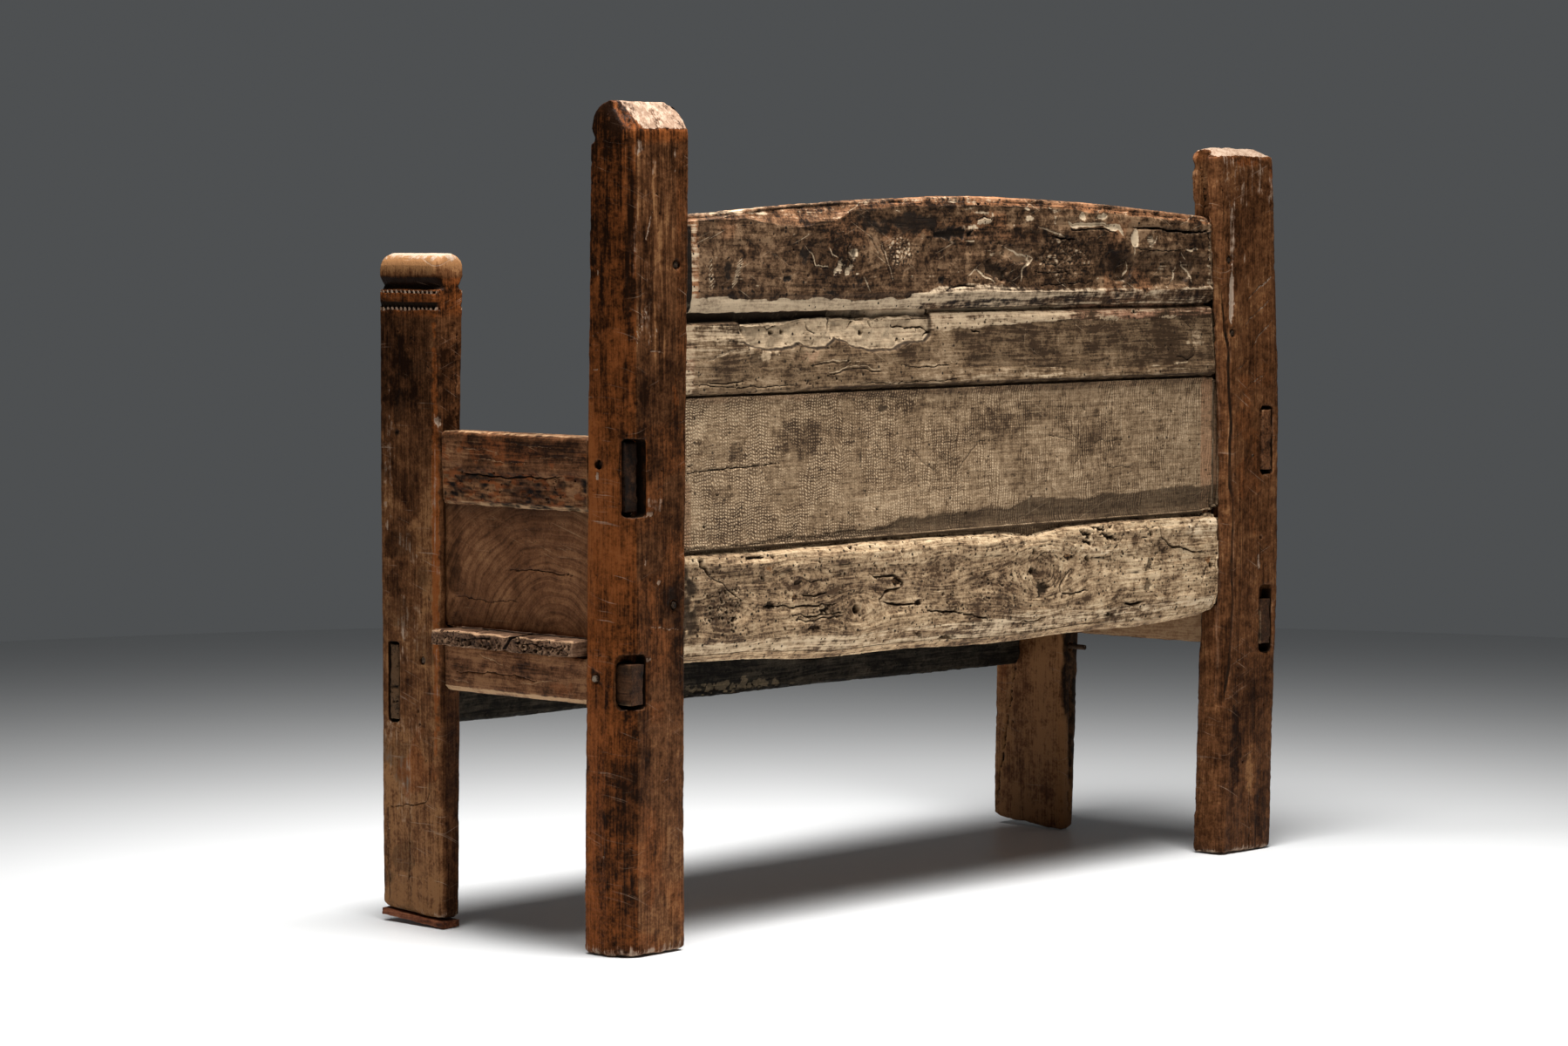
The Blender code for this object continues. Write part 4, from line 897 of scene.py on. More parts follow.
def make_rear_post_left():
    arris = [(1.113, -0.568), (1.004, -0.574), (0.878, -0.600), (0.799, -0.608), (0.671, -0.616), (0.420, -0.626),
             (0.296, -0.618), (0.195, -0.597), (0.006, -0.590)]
    marks = [
        patch("rear", (-0.616, 0.890), (0.0075, 0.046), 0.0030, pale=1.0, shade=0.3, ragged=0.15, soft=0.3),
        hole("rear", (-0.612, 0.948), 0.0054, 0.010),
        hole("rear", (-0.618, 0.835), 0.0048, 0.010),
        hole("rear", (-0.615, 0.955), 0.0026, 0.006),
        patch("rear", (-0.604, 0.885), (0.008, 0.05), shade=-0.2, ragged=0.4),
        patch("rear", (-0.622, 0.90), (0.006, 0.06), shade=-0.2, ragged=0.4),
        crack("rear", ((-0.673, 0.108), (-0.672, 0.05), (-0.675, 0.002)), 0.0026, 0.005),
        scratch("rear", ((-0.655, 0.885), (-0.690, 0.905), (-0.722, 0.925)), 0.0030, 0.0012, 0.8),
        scratch("rear", ((-0.655, 0.850), (-0.690, 0.868), (-0.722, 0.890)), 0.0026, 0.0010, 0.7),
        scratch("rear", ((-0.665, 0.805), (-0.700, 0.835), (-0.722, 0.855)), 0.0026, 0.0010, 0.7),
        scratch("rear", ((-0.63, 0.775), (-0.66, 0.79)), 0.0022, 0.0010, 0.5),
        scratch("rear", ((-0.66, 0.745), (-0.70, 0.765)), 0.0022, 0.0010, 0.5),
        crack("rear", ((-0.585, 1.10), (-0.60, 0.99), (-0.604, 0.93)), 0.0018, 0.002),
        crack("rear", ((-0.64, 0.60), (-0.645, 0.42), (-0.64, 0.28)), 0.0020, 0.003),
        hole("rear", (-0.678, 0.637), 0.0032, 0.004, pale=0.6, grime=0.3),
        hole("rear", (-0.700, 0.505), 0.0030, 0.006),
        hole("rear", (-0.655, 0.145), 0.0026, 0.005),
        hole("left", (0.23, 0.62), 0.002, 0.006),
        patch("rear", (-0.695, 0.465), (0.004, 0.018), 0.0014, pale=0.8, ragged=0.4),
        patch("rear", (-0.672, 0.115), (0.012, 0.05), 0.0008, shade=0.22, ragged=0.6),
        patch("rear", (-0.635, 0.17), (0.014, 0.09), shade=-0.3, grime=0.25, ragged=0.4),
        patch("rear", (-0.68, 0.24), (0.028, 0.05), shade=-0.2, ragged=0.5),
        patch("rear", (-0.70, 0.07), (0.018, 0.06), shade=-0.2, ragged=0.5),
        patch("rear", (-0.650, 0.99), (0.050, 0.10), shade=-0.14, ragged=0.6),
        patch("rear", (-0.67, 0.66), (0.045, 0.17), warm=0.5, ragged=0.6),
        patch("rear", (-0.70, 0.84), (0.03, 0.08), warm=0.35, ragged=0.6),
        patch("rear", (-0.655, 1.106), (0.045, 0.010), 0.0015, warm=0.7, ragged=0.3),
        patch("rear", (-0.720, 1.08), (0.008, 0.035), warm=0.8, ragged=0.4),
        *worm_holes("rear", (-0.72, 0.05), (-0.62, 1.08), 22, (0.0008, 0.0016), 73),
    ]
    timber = Timber("rear_post_left", 0.0044, 2, 5, marks, pith=(-0.63, 0.10), dense=("rear",))
    timber.soften(smooth(1.085, 1.10, timber.at[:, 2]), 4)
    timber.hew(0.0030, 0.0008, 0.0030)
    x, y, z = timber.at.T
    edge = line_at(arris, z) + 0.004 * noise(timber.at, 0.05, 22, 2)
    wane = smooth(edge - 0.003, edge + 0.002, x) * smooth(0.0, 0.2, timber.out[:, 1])
    timber.cut += wane * 0.0045
    timber.tint("pale", 0.14 * wane * smooth(0.35, 0.50, z))
    timber.shade += wane * (0.12 * smooth(0.40, 0.55, z) - 0.20 * smooth(0.45, 0.35, z))
    # painted shade: a dark line along the arris of the wane
    timber.tint("grime", 0.8 * smooth(0.0030, 0.0008, np.abs(x - edge)) * timber.faces("rear"))
    olive = smooth(0.80, 0.95, z + 0.04 * noise(timber.at, 0.06, 23, 2)) * timber.faces("rear")
    timber.tint("pale", 0.36 * olive * smooth(-0.1, 0.6, noise(timber.grain, np.array([0.09, 0.012, 0.012]), 19, 3)))
    timber.shade -= 0.10 * smooth(0.42, 0.25, z) * timber.faces("rear")
    timber.tint("pale", 0.9 * smooth(0.75, 0.95, timber.out[:, 2]) * (z > 1.05))
    timber.tint("warm", 0.5 * smooth(1.09, 1.115, z))
    timber.tint("pale", 0.5 * smooth(0.02, 0.0, z))
    timber.shade += 0.02 * timber.faces("rear")
    for rail in ("arm_rail_left", "seat_rail_left"):
        darken_mortise(timber, rail, "rear")
    timber.finish(FINISHES["waxed_post"], "waxed_post")


def front_post_teeth():
    edges = (FRONT_POST_TOP - FRONT_BAND_EDGE, FRONT_POST_TOP - FRONT_GROOVE_EDGE)
    rows = list(itertools.product(("right", "left"), edges))
    # tips: painted highlights on the teeth between the notches
    tips = [Teeth(face, edge=edge - 0.0005, depth=0.0, grime=0.0, pale=0.75, shift=0.5) for face, edge in rows]
    return [Teeth(face, edge=edge) for face, edge in rows] + tips


def dress_front_head(timber):
    """Golden roll, lightened towards its top as a painted highlight, over a grey cove; painted shade in the grooves; a
    red-brown band whose teeth have painted highlights on their tips.
    """
    z = timber.at[:, 2]
    below = FRONT_POST_TOP - z
    sides = timber.faces("right") + timber.faces("left")
    roll = smooth(0.040, 0.030, below)
    timber.tint("warm", 0.8 * smooth(FRONT_GROOVE_EDGE + 0.03, FRONT_GROOVE_EDGE, below) * (1 - roll))
    # painted highlight: the roll is lightened towards its top
    timber.shade += (0.66 * smooth(0.040, 0.008, below) + 0.04) * roll
    timber.tint("warm", 0.25 * roll * smooth(0.010, 0.030, below))
    # painted highlight: pale near the top and on its upward faces
    timber.tint("pale", 0.46 * smooth(0.018, 0.004, below) + 0.6 * smooth(0.85, 0.98, timber.out[:, 2]) * (below < 0.02))
    timber.shade -= 0.55 * smooth(0.052, 0.046, below) * smooth(0.032, 0.038, below) * sides
    # painted shade in the grooves
    for low in (FRONT_BAND_EDGE, FRONT_GROOVE_EDGE):
        timber.tint("grime", smooth(low + 0.001, low, below) * smooth(low - 0.007, low - 0.006, below) * sides)
    darken_mortise(timber, "front_seat_rail", "right" if timber.at[0, 0] > 0 else "left")


def make_front_post_right():
    marks = front_post_teeth() + [
        crack("right", ((-0.132, 0.283), (-0.138, 0.22), (-0.146, 0.181), (-0.18, 0.172), (-0.225, 0.168)), 0.0020, 0.004),
        crack("right", ((-0.231, 0.167), (-0.232, 0.10), (-0.230, 0.028)), 0.0030, 0.006),
        crack("right", ((-0.184, 0.171), (-0.187, 0.10), (-0.184, 0.030)), 0.0030, 0.006),
        crack("right", ((-0.205, 0.87), (-0.200, 0.82), (-0.206, 0.74)), 0.0016, 0.002),
        crack("rear", ((0.70, 0.85), (0.702, 0.74), (0.70, 0.66)), 0.0018, 0.003),
        hole("right", (-0.187, 0.070), 0.0028, 0.006),
        hole("right", (-0.185, 0.088), 0.0022, 0.005),
        hole("right", (-0.166, 0.310), 0.0024, 0.006),
        hole("right", (-0.163, 0.291), 0.0022, 0.006),
        hole("right", (-0.207, 0.709), 0.0030, 0.002),
        patch("right", (-0.207, 0.709), (0.009, 0.007), grime=0.7),
        patch("right", (-0.231, 0.135), (0.003, 0.003), -0.0004, pale=1.0),
        patch("right", (-0.127, 0.56), (0.009, 0.42), 0.0006, warm=1.0, pale=0.25, shade=0.15, ragged=0.25),
        patch("right", (-0.122, 0.725), (0.006, 0.010), 0.002, pale=0.9),
        patch("right", (-0.200, 0.80), (0.035, 0.06), shade=-0.30, ragged=0.6),
        patch("right", (-0.185, 0.62), (0.03, 0.05), shade=-0.22, ragged=0.6),
        patch("right", (-0.215, 0.50), (0.025, 0.06), shade=-0.22, ragged=0.6),
        patch("right", (-0.19, 0.345), (0.03, 0.03), shade=-0.2, ragged=0.6),
        patch("right", (-0.225, 0.66), (0.012, 0.10), pale=0.28, ragged=0.9),
        patch("right", (-0.19, 0.45), (0.03, 0.10), pale=0.34, ragged=0.9),
        patch("right", (-0.20, 0.24), (0.04, 0.09), pale=0.32, ragged=0.9),
        patch("right", (-0.17, 0.23), (0.04, 0.05), warm=0.6, ragged=0.5),
        patch("rear", (0.715, 0.80), (0.02, 0.09), shade=-0.25, ragged=0.6),
        *worm_holes("right", (-0.235, 0.05), (-0.13, 0.86), 30, (0.0007, 0.0015), 74),
    ]
    timber = Timber("front_post_right", 0.0038, 2, 7, marks, pith=(0.70, -0.30), dense=("right", "rear"))
    timber.hew(0.0012, 0.0005, 0.0016)
    x, y, z = timber.at.T
    outside = timber.faces("right")
    # the shade lines here darken the outer face high up and lighten it lower down and near the foot: painted shade and
    # painted floor bounce, partly the wood's own tone
    timber.shade -= 0.15 * smooth(0.60, 0.82, z) * smooth(0.905, 0.885, z) * outside
    timber.shade += 0.16 * smooth(0.72, 0.55, z) * outside
    timber.tint("grime", 0.45 * smooth(0.1, 0.6, noise(timber.at, 0.05, 39, 3)) * outside * smooth(0.88, 0.80, z))
    timber.shade += 0.16 * smooth(0.36, 0.18, z) * outside
    timber.shade -= 0.10 * timber.faces("rear")
    dress_front_head(timber)
    timber.tint("pale", 0.35 * smooth(0.03, 0.0, z - 0.012))
    timber.finish(FINISHES["waxed_post"], "waxed_post")


def make_front_post_left():
    marks = front_post_teeth() + [
        crack("right", ((-0.213, 0.267), (-0.232, 0.15), (-0.250, 0.021)), 0.003, 0.005),
        crack("rear", ((-0.668, 0.25), (-0.664, 0.15), (-0.66, 0.03)), 0.004, 0.008),
        crack("right", ((-0.16, 0.90), (-0.158, 0.80), (-0.162, 0.73)), 0.002, 0.003),
        patch("rear", (-0.67, 0.3), (0.03, 0.3), grime=0.8, ragged=0.3),
        patch("right", (-0.19, 0.2), (0.06, 0.16), shade=-0.15, ragged=0.5),
        *worm_holes("right", (-0.24, 0.05), (-0.13, 0.86), 14, (0.0008, 0.0016), 75),
    ]
    timber = Timber("front_post_left", 0.0042, 2, 9, marks, pith=(-0.66, -0.32))
    timber.hew(0.0018, 0.0006, 0.0020)
    # painted light: the faces other than the outer one lie in shade and are painted lighter; the noise adds random tone
    # to every face
    painted_light_faces = 1 - timber.faces("left")
    timber.shade += 0.38 * painted_light_faces + 0.18 * noise(timber.grain, np.array([0.20, 0.014, 0.014]), 41, 3)
    timber.tint("warm", 0.5 * smooth(0.0, 0.6, noise(timber.at, 0.06, 42, 2)))
    dress_front_head(timber)
    timber.finish(FINISHES["waxed_post"], "waxed_post")


def make_crest():
    brow = [(0.61, 1.014), (0.476, 1.014), (0.432, 1.009), (0.409, 1.004), (0.355, 1.006), (0.291, 1.012), (0.268, 1.026),
            (0.169, 1.032), (0.05, 1.036), (-0.18, 1.032), (-0.39, 1.020), (-0.61, 1.004)]
    lip = [(0.62, 0.904), (0.309, 0.900), (0.216, 0.898), (0.140, 0.900), (0.072, 0.917), (-0.016, 0.922), (-0.178, 0.911),
           (-0.336, 0.911), (-0.62, 0.911)]
    marks = [
        # knot and the torn wood round it
        patch("rear", (0.254, 0.965), (0.014, 0.013), 0.0004, pale=0.36, ragged=0.4, soft=0.3),
        patch("rear", (0.253, 0.965), (0.011, 0.010), 0.0020, grime=0.62, ragged=0.6),
        crack("rear", ((0.262, 0.981), (0.270, 0.972), (0.269, 0.957), (0.259, 0.951)), 0.0040, 0.004),
        patch("rear", (0.286, 0.947), (0.014, 0.007), 0.0022, pale=0.62, turn=-0.4, ragged=0.9, soft=0.4),
        patch("rear", (0.266, 0.942), (0.012, 0.005), 0.0022, pale=0.62, turn=-0.7, ragged=0.9, soft=0.4),
        scratch("rear", ((0.309, 0.975), (0.300, 0.962), (0.288, 0.958)), 0.0030),
        scratch("rear", ((0.360, 0.978), (0.344, 0.963), (0.337, 0.947), (0.309, 0.944)), 0.0026, 0.0012),
        crack("rear", ((0.347, 0.962), (0.340, 0.946), (0.312, 0.942)), 0.0016, 0.002),
        scratch("rear", ((0.221, 0.990), (0.209, 0.972), (0.197, 0.956)), 0.0034, 0.0014, 0.5),
        scratch("rear", ((0.195, 0.984), (0.184, 0.955), (0.174, 0.927)), 0.0030, 0.0014, 0.8),
        crack("rear", ((0.199, 0.982), (0.188, 0.953), (0.178, 0.927)), 0.0020, 0.0016),
        scratch("rear", ((0.235, 0.931), (0.228, 0.920), (0.221, 0.909)), 0.0050, 0.0020, 0.8),
        # stains
        patch("rear", (0.516, 0.945), (0.012, 0.016), 0.0008, grime=0.80, ragged=0.5),
        patch("rear", (0.360, 0.960), (0.013, 0.014), 0.0008, grime=0.85, ragged=0.5),
        patch("rear", (0.396, 0.929), (0.012, 0.007), 0.0010, grime=0.85, ragged=0.5),
        patch("rear", (0.305, 0.907), (0.015, 0.008), 0.0008, grime=0.85, ragged=0.5),
        patch("rear", (0.247, 0.925), (0.011, 0.007), 0.0008, grime=0.80, ragged=0.5),
        patch("rear", (0.065, 0.925), (0.009, 0.008), 0.0010, grime=0.85, ragged=0.4),
        patch("rear", (0.160, 1.008), (0.13, 0.018), grime=0.75, shade=-0.2, ragged=0.5),
        patch("rear", (0.035, 0.992), (0.055, 0.010), 0.0030, grime=0.95, ragged=0.5),
        patch("rear", (0.090, 1.000), (0.06, 0.012), warm=0.6, ragged=0.6),
        patch("rear", (0.400, 0.955), (0.06, 0.04), shade=-0.10, ragged=0.6),
        patch("rear", (0.540, 0.955), (0.03, 0.03), shade=0.12, ragged=0.7),
        # torn and hewn facets past the middle
        hole("rear", (-0.020, 1.040), 0.0040, 0.006),
        patch("rear", (-0.036, 1.011), (0.022, 0.006), -0.0006, pale=0.8, turn=-0.1, ragged=0.4),
        crack("rear", ((-0.014, 1.014), (-0.034, 1.018), (-0.058, 1.012)), 0.0024, 0.003),
        patch("rear", (-0.010, 1.028), (0.055, 0.006), 0.0010, pale=0.4, turn=0.18, ragged=0.5),
        patch("rear", (-0.001, 1.000), (0.030, 0.008), 0.0008, warm=0.9, pale=0.45, ragged=0.6),
        scratch("rear", ((-0.157, 1.001), (-0.190, 0.996), (-0.224, 0.986)), 0.0042, 0.0006),
        crack("rear", ((-0.190, 0.991), (-0.215, 0.984), (-0.245, 0.984)), 0.0044, 0.005),
        patch("rear", (-0.100, 0.990), (0.10, 0.010), 0.0012, shade=-0.22, warm=0.5, ragged=0.6),
        patch("rear", (-0.105, 0.962), (0.040, 0.012), 0.0030, shade=0.16, pale=0.20, turn=0.30, ragged=0.3, soft=0.15),
        patch("rear", (-0.060, 0.938), (0.036, 0.012), 0.0055, grime=0.70, turn=0.35, ragged=0.4, soft=0.3),
        patch("rear", (0.020, 0.952), (0.05, 0.022), shade=-0.18, ragged=0.6),
        scratch("rear", ((-0.071, 0.977), (-0.110, 0.964), (-0.147, 0.954)), 0.0042, 0.0004, 0.8),
        scratch("rear", ((-0.147, 0.954), (-0.124, 0.941), (-0.117, 0.921)), 0.0050, 0.0006),
        scratch("rear", ((-0.016, 0.940), (-0.036, 0.930), (-0.059, 0.919)), 0.0046, 0.0006),
        scratch("rear", ((0.010, 0.928), (0.000, 0.934), (-0.030, 0.950)), 0.0022, 0.0006, 0.6),
        crack("rear", ((-0.071, 0.921), (-0.086, 0.923), (-0.101, 0.921)), 0.0024, 0.002, warm=1.0, grime=0.2),
        crack("rear", ((0.060, 0.906), (0.048, 0.911), (0.014, 0.916), (-0.010, 0.914)), 0.0034, 0.005),
        crack("rear", ((-0.150, 0.935), (-0.19, 0.932), (-0.235, 0.936)), 0.0024, 0.003),
        crack("rear", ((-0.165, 0.914), (-0.22, 0.916), (-0.29, 0.918)), 0.0022, 0.003),
        crack("rear", ((-0.175, 0.952), (-0.215, 0.940), (-0.245, 0.924)), 0.0030, 0.003, pale=0.5, grime=0.5),
        # white chips
        patch("rear", (-0.263, 1.019), (0.009, 0.008), 0.0028, pale=1.3, shade=0.6, ragged=0.35, soft=0.3),
        patch("rear", (-0.311, 1.019), (0.013, 0.007), 0.0028, pale=1.3, shade=0.6, turn=-0.3, ragged=0.35, soft=0.3),
        scratch("rear", ((-0.229, 1.010), (-0.238, 1.004), (-0.271, 1.005), (-0.300, 1.008), (-0.320, 1.008)), 0.0090, 0.0022, 1.3),
        scratch("rear", ((-0.313, 1.007), (-0.335, 1.000), (-0.351, 1.001), (-0.362, 0.990)), 0.0130, 0.0022, 1.3),
        crack("rear", ((-0.235, 0.998), (-0.271, 0.998), (-0.310, 1.001), (-0.345, 0.993)), 0.0040, 0.004),
        patch("rear", (-0.391, 0.985), (0.011, 0.016), 0.0030, pale=1.3, shade=0.6, ragged=0.15, soft=0.3),
        scratch("rear", ((-0.391, 0.970), (-0.390, 0.958)), 0.0050, 0.0010, 0.8),
        patch("rear", (-0.433, 0.979), (0.014, 0.009), 0.0024, pale=0.55, turn=0.6, ragged=0.3, soft=0.2),
        scratch("rear", ((-0.424, 0.973), (-0.436, 0.975), (-0.446, 0.987)), 0.0040, 0.0012),
        # dark field at the left end
        patch("rear", (-0.365, 0.935), (0.028, 0.017), 0.0042, shade=0.14, pale=0.22, turn=-0.5, ragged=0.2, soft=0.15),
        scratch("rear", ((-0.376, 0.950), (-0.379, 0.938), (-0.366, 0.925)), 0.0048, 0.0008, 0.8),
        patch("rear", (-0.475, 0.935), (0.024, 0.014), 0.0042, shade=0.14, pale=0.20, ragged=0.2, soft=0.15),
        scratch("rear", ((-0.497, 0.940), (-0.493, 0.926), (-0.486, 0.917)), 0.0046, 0.0008, 0.8),
        patch("rear", (-0.523, 0.934), (0.020, 0.014), 0.0040, shade=0.18, pale=0.28, turn=-0.6, ragged=0.2, soft=0.15),
        scratch("rear", ((-0.507, 0.948), (-0.530, 0.932), (-0.536, 0.914)), 0.0050, 0.0008, 0.8),
        scratch("rear", ((-0.510, 0.962), (-0.520, 0.950)), 0.0026, 0.0006, 0.7),
        patch("rear", (-0.43, 0.939), (0.155, 0.030), 0.0022, grime=0.34, shade=-0.20, ragged=0.18, soft=0.2),
        crack("rear", ((-0.388, 1.001), (-0.440, 1.001), (-0.514, 0.995), (-0.586, 0.994)), 0.0052, 0.010),
        crack("rear", ((-0.36, 0.972), (-0.44, 0.966), (-0.56, 0.969)), 0.0020, 0.002),
        *hatching("rear", (0.497, 0.939), 9, (-0.014, 0.010), (-0.0016, 0.0042), 1.0, 0.0018),
        *hatching("rear", (0.551, 0.936), 8, (-0.012, 0.008), (0.0008, 0.0052), 0.8, 0.0016),
        *hatching("rear", (0.555, 0.934), 5, (0.010, 0.010), (0.0020, 0.0060), 0.6, 0.0014),
        *worm_holes("rear", (-0.56, 0.91), (0.57, 1.00), 70, (0.0008, 0.0017), 76),
    ]
    knots = [((0.254, 0.965), 0.035, 0.8), ((0.36, 0.956), 0.025, 0.6), ((-0.123, 0.951), 0.03, 0.5)]
    timber = Timber("crest_rail", 0.0040, 0, 11, marks, pith=(0.16, 0.82), knots=knots, dense=("rear",))
    x, y, z = timber.at.T
    edge = line_at(brow, x) + 0.002 * noise(timber.at, 0.04, 51, 3)
    timber.pare((y - 0.2465) * 0.92 + (z - edge) * 0.39, (0.0, 0.92, 0.39))
    timber.hew(0.0024, 0.0009, 0.0018)
    x, y, z = timber.at.T
    behind = timber.faces("rear")
    band = under_line(timber, lip, "rear", 0.005)
    above = smooth(-0.016, 0.002, z - line_at(lip, x)) * behind
    timber.cut += 0.0042 * above
    timber.tint("pale", band * (0.52 + 0.36 * smooth(0.05, 0.2, x) - 0.16 * smooth(-0.1, -0.3, x)))
    timber.tint("warm", 0.55 * behind * smooth(0.1, 0.7, noise(timber.at, 0.09, 70, 3)))
    timber.shade += 0.08 * band * smooth(0.0, 0.12, x) - 0.06 * band * smooth(0.12, 0.0, x)
    crown = smooth(edge - 0.004, edge + 0.005, z) * smooth(-0.2, 0.3, timber.out[:, 1] + timber.out[:, 2])
    timber.tint("warm", crown * (0.75 - 0.2 * smooth(0.2, 0.3, x)))
    speckle = smooth(-0.3, 0.5, noise(timber.at, 0.007, 52, 2))
    timber.tint("pale", crown * (0.15 + 0.12 * speckle + 0.06 * smooth(0.25, 0.45, x)))
    rim = smooth(edge - 0.006, edge - 0.002, z) * smooth(edge + 0.003, edge - 0.001, z) * behind
    timber.tint("grime", 0.70 * rim * smooth(-0.2, 0.4, noise(timber.at, 0.03, 53, 2)) * smooth(-0.22, -0.15, x))
    # pale wood and a painted highlight on the upward faces of the top, stronger towards the right end
    top = smooth(0.72, 0.92, timber.out[:, 2]) * (z > 0.99)
    timber.tint("pale", top * (0.15 + 0.20 * smooth(0.10, 0.25, x)))
    timber.tint("pale", 0.42 * smooth(0.570, 0.582, x) * behind)
    timber.tint("warm", 0.80 * smooth(0.570, 0.582, x) * behind)
    timber.shade += 0.3 * smooth(0.570, 0.582, x) * behind
    timber.tint("pale", 0.40 * smooth(-0.570, -0.580, x) * behind)
    # painted shadow: a dark strip at the right end of the rear face, where the crest stands off the post
    timber.tint("grime", smooth(0.5890, 0.5920, x) * behind * smooth(1.010, 1.000, z))
    cracked_skin(timber, behind * smooth(0.034, 0.018, np.hypot((x - 0.155) * 0.9, z - 0.966)), 0.0075, 54, 0.0010, 0.5)
    flaking = smooth(0.085, 0.055, np.hypot(x + 0.222, (z - 0.955) * 1.9) + 0.012 * noise(timber.at, 0.02, 55, 2))
    cracked_skin(timber, behind * flaking, 0.0105, 56, 0.0016, 0.42)
    facets = np.abs(noise(timber.at, np.array([0.030, 0.030, 0.018]), 24))
    hewn = smooth(0.08, 0.0, x) * behind * (1 - band)
    timber.cut += (0.0005 * behind + 0.0026 * hewn) * facets
    plates = noise(timber.at, np.array([0.055, 0.055, 0.024]), 26, 2)
    timber.shade += hewn * 0.30 * (smooth(-0.1, 0.25, plates) - 0.38)
    timber.tint("pale", hewn * 0.42 * smooth(0.10, 0.02, np.abs(plates)) * smooth(-0.1, 0.4, noise(timber.at, 0.02, 27, 2)))
    flecks = smooth(0.55, 0.85, noise(timber.at, np.array([0.010, 0.010, 0.006]), 57, 2))
    timber.tint("pale", 0.34 * flecks * behind * smooth(0.02, 0.10, x))
    timber.finish(FINISHES["crest"], "crest")


